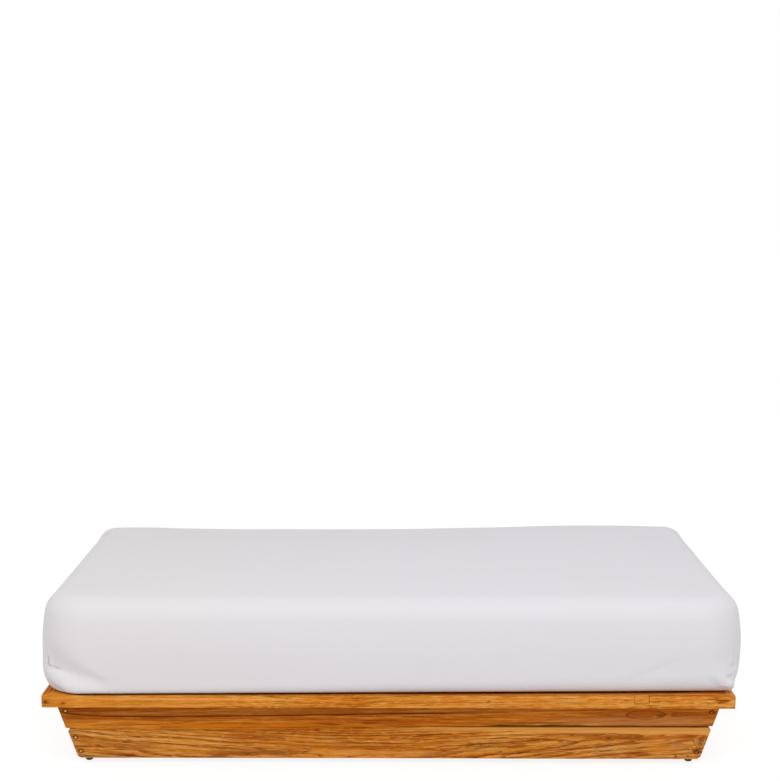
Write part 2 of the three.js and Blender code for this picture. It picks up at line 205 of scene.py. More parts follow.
# %% Wire
class Wire:
    """One output of a node. Sums on it add Math nodes, or Vector Math nodes where it is a vector."""

    def __init__(self, finish, socket):
        self.finish, self.socket = finish, socket
        self.is_vector = socket.type == "VECTOR"

    def _sum(self, operation, other=None, swapped=False):
        vector = self.is_vector or isinstance(other, tuple) or getattr(other, "is_vector", False)
        values = [self] if other is None else [other, self] if swapped else [self, other]
        kind = "VectorMath" if vector else "Math"
        return self.finish.node(kind, {"operation": operation}, dict(enumerate(values)))

    def __add__(self, other):
        return self._sum("ADD", other)

    __radd__ = __add__

    def __sub__(self, other):
        return self._sum("SUBTRACT", other)

    def __rsub__(self, other):
        return self._sum("SUBTRACT", other, swapped=True)

    def __mul__(self, other):
        if self.is_vector and not isinstance(other, tuple) and not getattr(other, "is_vector", False):
            return self.finish.node("VectorMath", {"operation": "SCALE"}, {0: self, "Scale": other})
        return self._sum("MULTIPLY", other)

    __rmul__ = __mul__

    def __truediv__(self, other):
        return self._sum("DIVIDE", other)

    def __rtruediv__(self, other):
        return self._sum("DIVIDE", other, swapped=True)

    def __pow__(self, other):
        return self._sum("POWER", other)

    def __abs__(self):
        return self._sum("ABSOLUTE")

    def least(self, other):
        return self._sum("MINIMUM", other)

    def most(self, other):
        return self._sum("MAXIMUM", other)

    def part(self):
        """What is left after the whole number: it rises from 0 to 1 again and again."""
        return self._sum("FRACT")

    def sine(self):
        return self._sum("SINE")

    def length_with(self, other):
        """The root of the sum of both squares."""
        return (self * self + other * other)._sum("SQRT")

    def fade(self):
        """exp of minus this, so 1 where this is 0."""
        return (self * -1)._sum("EXPONENT")

    def bell(self, width=1.0):
        """exp of minus the square of this over the width."""
        share = self / width
        return (share * share).fade()

    def step(self, low, high):
        """0 below low and 1 above high, with a smooth rise between them."""
        settings = {"interpolation_type": "SMOOTHSTEP"}
        return self.finish.node("MapRange", settings, {0: self, 1: low, 2: high})

    def between(self, rise_from, rise_to, fall_from, fall_to):
        """1 inside a stretch and 0 outside it, with a smooth rise and a smooth fall."""
        return self.step(rise_from, rise_to) * (1 - self.step(fall_from, fall_to))

    def split(self):
        return [self.finish.node("SeparateXYZ", {}, {0: self}, out=axis) for axis in range(3)]


# %% Finish
class Finish:
    """The nodes of a material, or of the world, while they are being made."""

    def __init__(self, name, owner=None):
        self.material = owner or bpy.data.materials.new(name)
        self.material.use_nodes = True
        self.tree = self.material.node_tree
        self.tree.nodes.clear()

    def node(self, kind, settings, sockets, out=0):
        """Adds a node. Its settings come first, and stops are a ramp's places and colours. The
        sockets, by name or number, take wires or plain values."""
        made = self.tree.nodes.new("ShaderNode" + kind)
        stops = settings.get("stops", ())
        while stops and len(made.color_ramp.elements) < len(stops):
            made.color_ramp.elements.new(0.5)
        for number, (place, colour) in enumerate(stops):
            made.color_ramp.elements[number].position = place
            made.color_ramp.elements[number].color = (*colour, 1)
        for setting in settings.keys() - {"stops"}:
            setattr(made, setting, settings[setting])
        for socket, value in sockets.items():
            if isinstance(value, Wire):
                self.tree.links.new(value.socket, made.inputs[socket])
            elif made.inputs[socket].type == "RGBA":
                made.inputs[socket].default_value = (*value, 1)
            else:
                made.inputs[socket].default_value = value
        return Wire(self, made.outputs[out]) if made.outputs else None

    def place(self, turn=0.0, move=(0, 0, 0)):
        """Where a point lies on the object, turned about Z and then moved."""
        point = self.node("TexCoord", {}, {}, out="Object")
        return self.node("Mapping", {}, {0: point, "Rotation": (0, 0, turn), "Location": move})

    def noise(self, vector, scale, detail=2.0, roughness=0.5, out="Fac"):
        """Cloudy noise. A scale of two numbers is one along the grain and one across it."""
        if isinstance(scale, tuple):
            vector, scale = vector * (scale[0], scale[1], scale[1]), 1.0
        sockets = {"Vector": vector, "Scale": scale, "Detail": detail, "Roughness": roughness}
        return self.node("TexNoise", {}, sockets, out=out)

    def mix(self, factor, low, high):
        return self.node("Mix", {"data_type": "RGBA"}, {0: factor, 6: low, 7: high}, out=2)

    def layers(self, colour, *layers):
        """A colour with tints laid over it in turn, each as strong as its mask, which the node
        keeps between 0 and 1."""
        for mask, tint in layers:
            colour = self.mix(mask, colour, tint)
        return colour

    def ramp(self, factor, *stops):
        return self.node("ValToRGB", {"stops": stops}, {0: factor})

    def mark(self, name):
        """A number that the mesh itself carries at each point."""
        return self.node("Attribute", {"attribute_name": name}, {}, out="Fac")

    def bump(self, height, distance, strength):
        return self.node("Bump", {}, {"Height": height, "Distance": distance, "Strength": strength})

    def done(self, **sockets):
        """Ends the material in one Principled shader. Names use _ for a space."""
        named = {name.replace("_", " "): value for name, value in sockets.items()}
        self.node("OutputMaterial", {}, {"Surface": self.node("BsdfPrincipled", {}, named)})
        return self.material


# %% [markdown]
# ## Camera
#
# The photograph was taken standing up, from in front and a little above. A pinhole camera was
# fitted to the edges of the rim, the sides and the mattress, and these are its numbers.

# %% Camera
CAMERA_PLACE = (0.0399, -4.1381, 1.6037)
CAMERA_PITCH = 8.244
CAMERA_ROLL = 0.069
CAMERA_SWING = 0.499
CAMERA_LENS = 64.98
CAMERA_SENSOR = 36

camera = bpy.data.objects.new("camera", bpy.data.cameras.new("camera"))
camera.location = CAMERA_PLACE
camera.rotation_euler = np.radians((90 - CAMERA_PITCH, CAMERA_ROLL, CAMERA_SWING))
camera.data.lens = CAMERA_LENS
camera.data.sensor_width = CAMERA_SENSOR
bpy.context.scene.collection.objects.link(camera)
bpy.context.scene.camera = camera

# %% [markdown]
# ## Light and floor
#
# The photograph has a soft, even studio light over a white floor. The rounded front edge of the
# mattress is its brightest part, and the top grows darker towards the back. So a pale sky and the
# light that the floor throws back give the even part, and a wide softbox, near enough above the
# front for its light to fall off over the top, gives the rest. The background is white only for the
# eye and for reflections, and the floor keeps part of the shadow.

# %% Studio
WHITE = (1.0, 1.0, 1.0)
SKY_LEVEL = 0.66
SOFTBOX_PLACES = {"left": (-1.25, -2.4, 3.0), "right": (1.40, -2.4, 3.0)}
SOFTBOX_SIZE = (1.7, 1.6)
SOFTBOX_WATTS = 26
SOFTBOX_TILT = 42
FLOOR_SIZE = 60.0
FLOOR_SHADE = 0.84
FLOOR_GLOW_SHARE = 0.8
FLOOR_GLOW = 1.09
DIRECT_RAYS = ("Is Camera Ray", "Is Glossy Ray", "Is Transmission Ray")


def seen_directly(finish):
    """1 for rays from the camera, a mirror or a lens, and 0 for the light that falls on things."""
    rays = [finish.node("LightPath", {}, {}, out=ray) for ray in DIRECT_RAYS]
    return rays[0].most(rays[1]).most(rays[2])


studio = Finish("studio", bpy.data.worlds.new("studio"))
bpy.context.scene.world = studio.material
sky = studio.node("Background", {}, {"Color": WHITE, "Strength": SKY_LEVEL})
backdrop = studio.node("Background", {}, {"Color": WHITE})
either = studio.node("MixShader", {}, {0: seen_directly(studio), 1: sky, 2: backdrop})
studio.node("OutputWorld", {}, {"Surface": either})

lamp = bpy.data.lights.new("softbox", "AREA")
lamp.shape = "RECTANGLE"
lamp.size, lamp.size_y = SOFTBOX_SIZE
lamp.energy = SOFTBOX_WATTS
for hand, softbox_place in SOFTBOX_PLACES.items():
    softbox = bpy.data.objects.new("softbox_" + hand, lamp)
    softbox.location = softbox_place
    softbox.rotation_euler = (np.radians(SOFTBOX_TILT), 0, 0)
    softbox.visible_camera = False
    bpy.context.scene.collection.objects.link(softbox)

floor_finish = Finish("floor_white")
paint = floor_finish.node("BsdfDiffuse", {}, {"Color": (FLOOR_SHADE,) * 3})
white = floor_finish.node("BsdfDiffuse", {}, {"Color": WHITE})
glow = floor_finish.node("Emission", {}, {"Color": WHITE, "Strength": FLOOR_GLOW})
shown = floor_finish.node("MixShader", {}, {0: FLOOR_GLOW_SHARE, 1: white, 2: glow})
either = floor_finish.node("MixShader", {}, {0: seen_directly(floor_finish), 1: paint, 2: shown})
floor_finish.node("OutputMaterial", {}, {"Surface": either})

floor_points = np.array([[-1, -1, 0], [1, -1, 0], [1, 1, 0], [-1, 1, 0]]) * FLOOR_SIZE / 2
floor = mesh_from("floor", floor_points, [(0, 1, 2, 3)])
floor.data.materials.append(floor_finish.material)

# %% [markdown]
# ## Teak
#
# A plank's figure comes from the growth rings of the tree that it was sawn from. So the pattern is
# solid: every point gets its distance from a heart line that runs almost along the board, and each
# ring is a pale band that ends in a dark line. Where the face cuts the rings at a slant they show
# as long arches, and they run on round the edges and over the end grain. A knot is a hump in that
# distance, and the rings flow round it as they do in a tree.

# %% The teak's colours
TEAK_DEEP = (0.245, 0.044, 0.0015)
TEAK_RED = (0.42, 0.088, 0.0025)
TEAK_BROWN = (0.58, 0.160, 0.008)
TEAK_GOLD = (0.78, 0.285, 0.030)
TEAK_PALE = (0.91, 0.46, 0.125)
TEAK_AMBER = (0.72, 0.200, 0.001)
TEAK_LINE = (0.16, 0.028, 0.002)
TEAK_GREY = (0.60, 0.265, 0.095)
CRACK = (0.080, 0.014, 0.001)
# A near-black brown for dirt, knots and dark joints, which also paints shade under the mattress, under the
# rim and at the seam.
GRIME_AND_SHADE = (0.030, 0.007, 0.001)
TEAK_TONES = ((0.16, TEAK_DEEP), (0.33, TEAK_RED), (0.48, TEAK_BROWN), (0.64, TEAK_GOLD), (0.86, TEAK_PALE))
TEAK_GLOSS = 0.05
RISE_TURN = 0.12


def hinge(x, width):
    """0 well before the place where x is 0, and x itself well after it, with a smooth turn."""
    return ((x * x + width * width) ** 0.5 + x) * 0.5


def bell_at(x, z, spot):
    """A bell over a spot, which is (x, z, half its length, half its height)."""
    return ((x - spot[0]) / spot[2]).length_with((z - spot[1]) / spot[3]).bell()


# %% Teak for one board
def teak(name, heart, turn=0.0, slope=(0.0, 0.0), ring=0.0058, warmth=0.5, knots=(), patches=(),
         stains=(), more=None, rises=(), figure=0.55, speckle=1.0, threads=0.5):
    """Teak for one board. heart is where the heart of the tree passes the middle of the board, and
    slope how far it moves for each metre along. rises are places past which the grain climbs:
    the place, 1 or -1 for which way, and how steeply. knots and patches are bells: a knot also
    lifts the rings, and a patch only tints. stains are round marks, about pegs. figure is how
    strong the ring lines are, speckle how strong the short dashes, and threads how strong the
    thin dark lines that wander along the grain."""
    wood = Finish(name)
    place = wood.place(turn)
    along, inward, up = place.split()
    climb = along * slope[1]
    for middle, way, tilt in rises:
        climb = climb + hinge((along - middle) * way, RISE_TURN) * tilt
    shift_in, shift_up, _ = (wood.noise(place, (1.1, 7.0), out="Color") - (0.5, 0.5, 0.5)).split()
    grain_up = up - climb + shift_up * 0.010
    knot_shade = knot_lift = along * 0.0
    for *spot, lift, shade in knots:
        bell = bell_at(along, up, spot)
        knot_lift = knot_lift + bell * lift
        knot_shade = knot_shade.most(bell**3 * shade)
    grain_in = inward - along * slope[0] + knot_lift
    grain = wood.node("CombineXYZ", {}, {0: along, 1: grain_in, 2: grain_up})

    reach = (grain_in - heart[0] + shift_in * 0.05).length_with(grain_up - heart[1] + shift_up * 0.03)
    ripple = wood.noise(grain, (9.0, 90.0), 3.0, 0.6) - 0.5
    line = (reach / ring + ripple * 0.9).part().between(0.45, 0.92, 0.94, 1.0)
    thread = (wood.noise(grain, (1.7, 38.0)) * 9.0).part().between(0.72, 0.92, 0.94, 1.0)
    broad = wood.noise(grain, (0.75, 11.0), 3.0, 0.55)
    streak = wood.noise(grain, (2.0, 88.0), 4.0, 0.6)
    dash = wood.noise(grain, (13.0, 185.0), 4.0, 0.62)
    fine = wood.noise(grain, (45.0, 330.0), 2.0, 0.6)
    dark_thread = wood.noise(grain, (5.85, 286.0), 3.0, 0.55).step(0.57, 0.70)
    fleck = wood.noise(grain, (40.8, 323.0)).step(0.60, 0.72)
    pores = wood.noise(grain, (38.0, 900.0), 2.0, 0.6).step(0.60, 0.74)

    tone = broad * 0.60 + streak * 0.85 + dash * 0.62 + fine * (0.42 * speckle)
    colour = wood.layers(
        wood.ramp(tone + (warmth - 1.035 - 0.21 * speckle), *TEAK_TONES),
        (line * (dash * 1.1 + 0.1) * figure, TEAK_LINE),
        (thread * (dash * 1.2 - 0.1) * threads, TEAK_LINE),
        (dark_thread * 0.62, TEAK_LINE),
        (fleck * (0.55 * speckle), TEAK_PALE),
        (pores * 0.35, TEAK_LINE),
    )
    for *spot, strength, tint in patches:
        bell = bell_at(along + ripple * 0.05, up + ripple * 0.016, spot)
        edge = bell.step(0.22, 0.80) * (streak * 0.6 + dash)
        colour = wood.mix(edge.least(1.0) * strength, colour, tint)
    colour = wood.mix(knot_shade, colour, GRIME_AND_SHADE)
    for x, z, radius in stains:
        away = (abs(along) - x).length_with(up - z) + (dash - 0.5) * 0.006
        colour = wood.mix((1 - away.step(radius, radius * 2)) * 0.65, colour, GRIME_AND_SHADE)
    if more is not None:
        colour = more(wood, colour, along, up, streak, dash)

    # The pale rubbed edges are wear, and on the lower board's top edge also a painted highlight.
    rubbed_and_highlight = (wood.mark("wear_and_highlight") * (dash * 1.3 + 0.2)).step(0.25, 0.95)
    # This mark darkens the wood with dirt, and also with painted shade under the mattress's edge, under the
    # rim and at the seam.
    dirt_and_shade = wood.mark("grime_and_shade") * (broad * 0.5 + 0.75)
    height = fine * 0.5 - pores * 0.9 - line * 0.35 + dash * 0.25 - dark_thread * 0.3
    return wood.done(
        Base_Color=wood.layers(colour, (rubbed_and_highlight * 0.6, TEAK_PALE), (dirt_and_shade, GRIME_AND_SHADE)),
        Roughness=0.46 + fine * 0.22 + pores * 0.15 - line * 0.05,
        Specular_IOR_Level=TEAK_GLOSS,
        Normal=wood.bump(height, 0.0007, 0.55),
    )


# %% [markdown]
# ## The boards
#
# Each board is a rounded rectangle carried along its length. The rounding of each long edge may
# change from station to station, which is what years of use do to an arris, and the ends close in
# over a small round of their own. The grid is made in the board's own measures first: along, in
# from the face, and up. A placing function then leans it, cuts its mitres and sets it in the base.

# %% A board in its own measures
ARC_STEPS = 3
STATION_STEP = 0.012
TIGHT_RADIUS = 0.0002
RUB_REACH = 0.0045


def stations(length, end_radius):
    """Places along a board: close together over the end rounds and evenly spread between them."""
    start = end_radius * (1 - np.cos(np.linspace(0, np.pi / 2, ARC_STEPS + 1)))
    count = max(2, int(round((length - 2 * end_radius) / STATION_STEP)))
    middle = np.linspace(end_radius, length - end_radius, count + 1)[1:-1]
    return np.concatenate([start, middle, (length - start)[::-1]])


def rounded_rings(along, length, depth, height, radii, end_radius, depth_steps, height_steps):
    """Rings of a rectangle with quarter-round corners, one for each station.
    A ring's point is a corner's centre plus its radius times a direction, and the sides between
    the corners are divided evenly. Near the ends the ring draws in along a quarter circle."""
    reach = np.clip(end_radius - np.minimum(along, length - along), 0, end_radius)
    draw = (end_radius - np.sqrt(np.maximum(end_radius**2 - reach**2, 0)))[:, None]
    arcs = []
    for corner, (right, top) in enumerate(((0, 0), (1, 0), (1, 1), (0, 1))):
        radius = np.maximum(radii[corner][:, None] - draw, TIGHT_RADIUS)
        centre_in = depth - draw - radius if right else draw + radius
        centre_up = height - draw - radius if top else draw + radius
        angle = np.radians(180 + 90 * corner) + np.linspace(0, np.pi / 2, ARC_STEPS + 1)
        arc = [centre_in + radius * np.cos(angle), centre_up + radius * np.sin(angle)]
        arcs.append(np.stack(arc, axis=-1))
    parts = []
    for corner, steps in enumerate((depth_steps, height_steps, depth_steps, height_steps)):
        here, after = arcs[corner], arcs[(corner + 1) % 4]
        share = np.linspace(0, 1, steps + 1)[1:-1][None, :, None]
        parts += [here, here[:, -1:] * (1 - share) + after[:, :1] * share]
    return np.concatenate(parts, axis=1)


def board_points(length, depth, height, radii, end_radius, depth_steps, height_steps):
    """A board as along, in, up for each point of its grid."""
    along = stations(length, end_radius)
    radii = [radius(along) if callable(radius) else np.full_like(along, radius) for radius in radii]
    rings = rounded_rings(along, length, depth, height, radii, end_radius, depth_steps, height_steps)
    run = np.broadcast_to(along[:, None], rings.shape[:2])
    return run, rings[..., 0], rings[..., 1]


def worn_arris(low, high, seed):
    """The rounding of a rubbed edge along the board, between two radii."""
    def radius(along):
        return low + (high - low) * (0.5 + 0.5 * np.clip(drift(along, seed, 0.22), -1, 1))
    return radius


def edge_marks(run, inward, up, depth, height, seed, rubbed_corners):
    """How rubbed each point is: it falls off with the distance from the rubbed long edges, and
    varies along them."""
    wear_and_highlight = np.zeros_like(run)
    for right, top in rubbed_corners:
        wear_and_highlight = np.maximum(wear_and_highlight, hump((inward - right * depth, RUB_REACH), (up - top * height, RUB_REACH)))
    return wear_and_highlight * (0.62 + 0.38 * drift(run, seed, 0.09))


# %% [markdown]
# All four sides are made as though they were the front, and then turned about the middle of the
# divan. The long sides and the ends differ only in their lengths and in how they end. Each side's
# two boards were planed to fit each other, so their seam climbs a little from one end to the
# other: by 11 mm along the front.

# %% The four sides
SEAM = (lower_box[1].z + upper_box[0].z) / 2
SEAM_LEFT, SEAM_RIGHT = SEAM - 0.0092, SEAM + 0.0022
long_side = {"reach": HALF_DEPTH, "run": HALF_LENGTH, "set_back": 0.0, "proud": LOWER_PROUD}
end_side = {"reach": HALF_LENGTH, "run": HALF_DEPTH, "set_back": APRON_THICKNESS + TOUCH, "proud": 0.0}
SIDES = {
    "front": {**long_side, "turn": 0.0, "seam": (SEAM_LEFT, SEAM_RIGHT), "short": (0.0037, 0.0020)},
    "back": {**long_side, "turn": np.pi, "seam": (SEAM, SEAM), "short": (0.0, 0.0)},
    "left": {**end_side, "turn": -np.pi / 2, "seam": (SEAM, SEAM_LEFT), "short": (0.0, 0.0)},
    "right": {**end_side, "turn": np.pi / 2, "seam": (SEAM_RIGHT, SEAM), "short": (0.0, 0.0)},
}


def turned(x, y, z, turn):
    """Points turned about the upright axis through the middle of the divan."""
    return grid_of(x * np.cos(turn) - y * np.sin(turn), x * np.sin(turn) + y * np.cos(turn), z)


# %% [markdown]
# The rim is four flat boards, mitred at the corners. Its top and lower edges are the most rubbed
# part of the base, with pale chips on them, and its corners are eased where hands and shins go.
# On its top, dust and old polish have gathered along the line where the mattress stands,
# and painted shade from the mattress's overhang darkens that line further.

# %% Where the mattress stands on the rim
FOOT_ENDS = (0.945, 0.925)  # left, right
FOOT_FRONT, FOOT_TAPER, FOOT_BACK = 0.414, 0.024, 0.430
FOOT_CORNERS = (0.11, 0.03)  # left, right
DUST_AND_SHADE_LINE, DUST_AND_SHADE_LINE_BEHIND = 0.0055, 0.006  # how far outside the foot the dust and painted shade end
DUST_AND_SHADE_LINE_MOVES = ((0.0095, -0.93, -0.80), (0.009, -0.80, 0.60), (-0.017, 0.80, 0.93))  # by, from x, to x
DUST_AND_SHADE_FAINT, DUST_AND_SHADE_DARKER = 0.18, 0.56
DUST_AND_SHADE_GATHERS = (-0.035, -0.012)
DUST_AND_SHADE_FADE_IN, DUST_AND_SHADE_FADE_OUT = 0.003, 0.004


def outside_foot(x, y):
    """How far a point lies outside the line that the mattress stands on: a rounded rectangle
    whose front comes forward to the left."""
    corner = np.where(x < 0, *FOOT_CORNERS)
    across = np.where(x < 0, -x - FOOT_ENDS[0], x - FOOT_ENDS[1]) + corner
    deep = np.where(y < 0, -y - FOOT_FRONT + FOOT_TAPER * x, y - FOOT_BACK) + corner
    return np.hypot(np.maximum(across, 0), np.maximum(deep, 0)) - corner


def foot_shade(x, y):
    """Dust and painted shade under the mattress's overhang: dark up to a line that lies further out
    to the right, and close in at the corners, and fainter again further in. Near that line it
    stands for the shade of the overhang as much as for dust."""
    line = DUST_AND_SHADE_LINE + sum(move * soft_step(x, start, end) for move, start, end in DUST_AND_SHADE_LINE_MOVES)
    line = np.where(y < 0, line, DUST_AND_SHADE_LINE_BEHIND)
    outside = outside_foot(x, y)
    dust_and_shade = DUST_AND_SHADE_FAINT + DUST_AND_SHADE_DARKER * soft_step(outside, *DUST_AND_SHADE_GATHERS)
    return dust_and_shade * (1 - soft_step(outside, line - DUST_AND_SHADE_FADE_IN, line + DUST_AND_SHADE_FADE_OUT))


# %% Rim boards
RIM_ARRIS = (0.0012, 0.0026)
RIM_INNER_RADII = (0.0015, 0.002)
RIM_END_RADIUS = 0.0006
RIM_STEPS = (22, 5)  # over the depth, up the height
RIM_BOW, RIM_SWELL = 0.0005, 0.0004
RIM_CORNER_EASE = 0.007
MITRE_GAP = TOUCH / np.sqrt(2)
TOP_SKIN = 0.004
CHIP_REACH, CHIP_RUB_REACH = 0.006, 0.008
RIM_CHIPS = (  # place, 0 for the lower edge or 1 for the top one, half the length, depth
    (-0.279, 0, 0.010, 0.0022), (-0.19, 0, 0.030, 0.0014), (0.357, 1, 0.006, 0.0018),
    (-0.756, 1, 0.007, 0.0016), (-0.735, 1, 0.012, 0.0012), (0.722, 0, 0.008, 0.0022),
    (0.275, 0, 0.012, 0.0010), (0.55, 0, 0.02, 0.0012),
)


def rim_board(side_name, side, seed, chips=()):
    """One side of the rim: x runs between the two mitres, whose ends draw in as fast as the depth
    grows, and the outer corner is eased by a small round in plan."""
    length = 2 * side["run"]
    radii = [worn_arris(*RIM_ARRIS, seed), *RIM_INNER_RADII, worn_arris(*RIM_ARRIS, seed + 1)]
    run, inward, up = board_points(length, RIM_WIDTH, RIM_HEIGHT, radii, RIM_END_RADIUS, *RIM_STEPS)
    wear_and_highlight = edge_marks(run, inward, up, RIM_WIDTH, RIM_HEIGHT, seed + 2, ((0, 0), (0, 1)))
    tip = RIM_CORNER_EASE * (1 - 1 / np.sqrt(2))
    x = (2 * run / length - 1) * (side["run"] - MITRE_GAP - np.maximum(inward, tip))
    from_corner = np.clip(side["run"] - np.abs(x), tip, RIM_CORNER_EASE)
    eased = RIM_CORNER_EASE - np.sqrt(RIM_CORNER_EASE**2 - (RIM_CORNER_EASE - from_corner) ** 2)
    inward = np.maximum(inward, eased)
    for place, top, width, size in chips:
        edge = top * RIM_HEIGHT
        bite = hump((x - place, width), (inward, CHIP_REACH), (up - edge, CHIP_REACH)) * size
        inward = inward + bite * 0.8
        up = up + bite * (-1 if top else 1)
        rubbed_and_highlight = hump((x - place, width), (inward, CHIP_RUB_REACH), (up - edge, CHIP_REACH))
        wear_and_highlight = np.maximum(wear_and_highlight, rubbed_and_highlight)
    inward = inward + RIM_BOW * drift(x, seed + 3, 0.5) * hump((inward, 0.01))
    on_top = (up > RIM_HEIGHT / 2) * np.clip(inward / 0.02, 0, 1)
    up = up + RIM_SWELL * drift(x, seed + 4, 0.7) * on_top
    points = turned(x, inward - side["reach"], RIM_LOW + up, side["turn"])
    # Dust, and painted shade from the mattress's overhang, on the rim's top.
    grime_and_shade = foot_shade(points[..., 0], points[..., 1]) * (up > RIM_HEIGHT - TOP_SKIN)
    return bar(f"rim_board_{side_name}", points, {"wear_and_highlight": wear_and_highlight, "grime_and_shade": grime_and_shade})


# %% [markdown]
# The sides below it are two boards each. They lean in towards the floor, so the placing function
# moves the face in as the height falls, and the ends of the long boards lean as well. Where the
# two boards meet, the upper one's edge is rubbed and the lower one's is well rounded, so the seam
# reads as a shallow groove.

# %% The seam between the apron boards
APRON_ARRIS = (0.0010, 0.0022)
SEAM_RADII = {"upper": (0.0012, 0.0026), "lower": (0.0070, 0.0100)}
SEAM_OPENING = 0.0050


def seam_level(x, side):
    """The height of the seam along a side: it climbs from its level at the left end to its level
    at the right, and most of that in the middle."""
    left, right = side["seam"]
    end_lift = 0.4 * (right - left) * (1 - soft_step(x / side["run"], -0.97, -0.87))
    return left + (right - left) * soft_step(x / side["run"], -0.45, 0.10) + end_lift


def seam_showing(x):
    """How plainly the front's seam shows: hardly at the left and fully from past the middle."""
    return soft_step(x, -0.05, 0.32)


def opened_arris(radius, half_run):
    """A rounding that grows from a fifth of itself at the left, as far as the seam shows."""
    return lambda along: radius(along) * (0.2 + 0.8 * seam_showing(along - half_run))


def front_seam_opening(x):
    """The seam is shut at the left and stands open over the right half of the front, widest just
    past the middle."""
    wide = 0.25 * soft_step(x, -0.05, 0.20) + 0.75 * soft_step(x, 0.26, 0.32)
    wide = wide * (1 - 0.5 * soft_step(x, 0.50, 0.66))
    return SEAM_OPENING * wide * (0.8 + 0.2 * drift(x, 77, 0.12))


# %% Apron boards
APRON_BACK_RADIUS = 0.001
APRON_END_RADIUS = 0.0012
APRON_STEPS = (4, 14)  # over the depth, up the height
APRON_BOW, APRON_WAVES = 0.0006, 0.00025
APRON_WEAR_AND_HIGHLIGHT = {"upper": 0.35, "lower": 0.8}
NOTCH_SHARPNESS = 24
FOOT_CORNER_RADIUS = 0.010
SEAM_NOTCH = {"upper": 0.0015, "lower": 0.0070}
SHADE_UNDER_RIM_REACH = 0.007
SEAM_DIRT_AND_SHADE_REACH = 0.0016


def apron_board(side_name, side, level, low, high, seed):
    """One board of a side. x stretches between the leaning ends, the edge at the seam follows the
    seam, and the face moves in with the lean. The lower board's top edge is well rounded, and
    its ends have a notch there and a rounded corner at the foot."""
    upper = level == "upper"
    front = side_name == "front"
    height = high - low
    proud = 0.0 if upper else side["proud"]
    depth = APRON_THICKNESS + proud
    half_run = side["run"] - face_inset((low + high) / 2) - side["set_back"]
    arris = worn_arris(*APRON_ARRIS, seed)
    seam = worn_arris(*SEAM_RADII[level], seed + 1)
    if front:
        seam = opened_arris(seam, half_run)
    low_radius, high_radius = (seam, arris) if upper else (arris, seam)
    radii = [low_radius, APRON_BACK_RADIUS, APRON_BACK_RADIUS, high_radius]
    run, inward, up = board_points(2 * half_run, depth, height, radii, APRON_END_RADIUS, *APRON_STEPS)
    place = run - half_run
    seam_shows = seam_showing(place) if front else 1.0
    from_seam = up if upper else height - up

    notch = 0.0
    if not side["set_back"]:
        notch = np.maximum(SEAM_NOTCH[level] - from_seam, 0)
    if not side["set_back"] and not upper:
        below = np.clip(FOOT_CORNER_RADIUS - up, 0, None)
        notch = notch + FOOT_CORNER_RADIUS - np.sqrt(FOOT_CORNER_RADIUS**2 - below**2)
    edge = seam_level(place, side)
    if upper:
        opening = front_seam_opening(place) if front else 0.0
        z = high - (height - up) * (high - edge - opening) / height
    else:
        z = low + up * (edge - TOUCH - low) / height
    share = run / half_run - 1
    short = 0.0 if upper else np.where(share < 0, *side["short"])
    end = side["run"] - face_inset(z) - side["set_back"] - short
    x = share * end - np.sign(share) * notch * np.abs(share) ** NOTCH_SHARPNESS
    bow = APRON_BOW * drift(x, seed + 3, 0.9) + APRON_WAVES * drift(x + 7 * up, seed + 4, 0.12)
    y = face_inset(z) + inward - proud - side["reach"] + bow * np.clip(1 - inward / depth, 0, 1)

    rubbed_and_highlight = ((0, 0),) if upper else ((0, 0), (0, 1))
    wear_and_highlight = edge_marks(run, inward, up, depth, height, seed + 2, rubbed_and_highlight) * APRON_WEAR_AND_HIGHLIGHT[level]
    # Painted shade: the top of the upper board is darkened where the rim's overhang shades it.
    shade_under_rim = hump((height - up, SHADE_UNDER_RIM_REACH)) if upper else np.zeros_like(up)
    # Dirt and painted shade darken the board's edge at the seam, and a faint dark line marks the seam where
    # it is shut.
    seam_dirt_and_shade = hump((from_seam, SEAM_DIRT_AND_SHADE_REACH)) * seam_shows
    if not upper:
        # Painted highlight: the lower board's rounded top edge is painted pale where it catches the light,
        # besides its wear; at the left of the front this is left out.
        edge_highlight_shows = soft_step(place, -0.55, -0.20) if front else 1.0
        wear_and_highlight = wear_and_highlight * (1 - hump((from_seam, 0.02)) * (1 - edge_highlight_shows))
        seam_dirt_and_shade = np.maximum(seam_dirt_and_shade, 0.22 * hump((from_seam - 0.002, 0.003)) * (1 - seam_shows))
    marks = {"wear_and_highlight": wear_and_highlight, "grime_and_shade": np.maximum(0.30 * shade_under_rim, 0.75 * seam_dirt_and_shade)}
    return bar(f"apron_board_{level}_{side_name}", turned(x, y, z, side["turn"]), marks)


# %% [markdown]
# ## The figure of each visible board
#
# The front boards follow the photograph: an oval figure with a dark outline near the right end of
# the upper board, an amber band along its lower edge, a pale band of sapwood at the top of the
# lower board, and arches with a small swirl knot at its right end. The other sides, which the
# photograph doesn't show, come from the same timber with other hearts and other knots.

# %% Lines and bands of the front boards
STAIN_RADIUS = 0.0052
DARK_LINES = (  # x and height where each one starts, and where it ends
    (0.10, 0.051, 0.50, 0.084), (0.46, 0.046, 0.80, 0.0765), (0.30, 0.030, 0.62, 0.058),
)

peg_stains = []
for number in (1, 2, 3):
    node = f"corner_peg_front_right_{number}"
    peg_stains.append((middle_of(node).x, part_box(node)[0].z + PEG_RADIUS, STAIN_RADIUS))
STAINS = {"rim": [], "upper": peg_stains[:1], "lower": peg_stains[1:]}


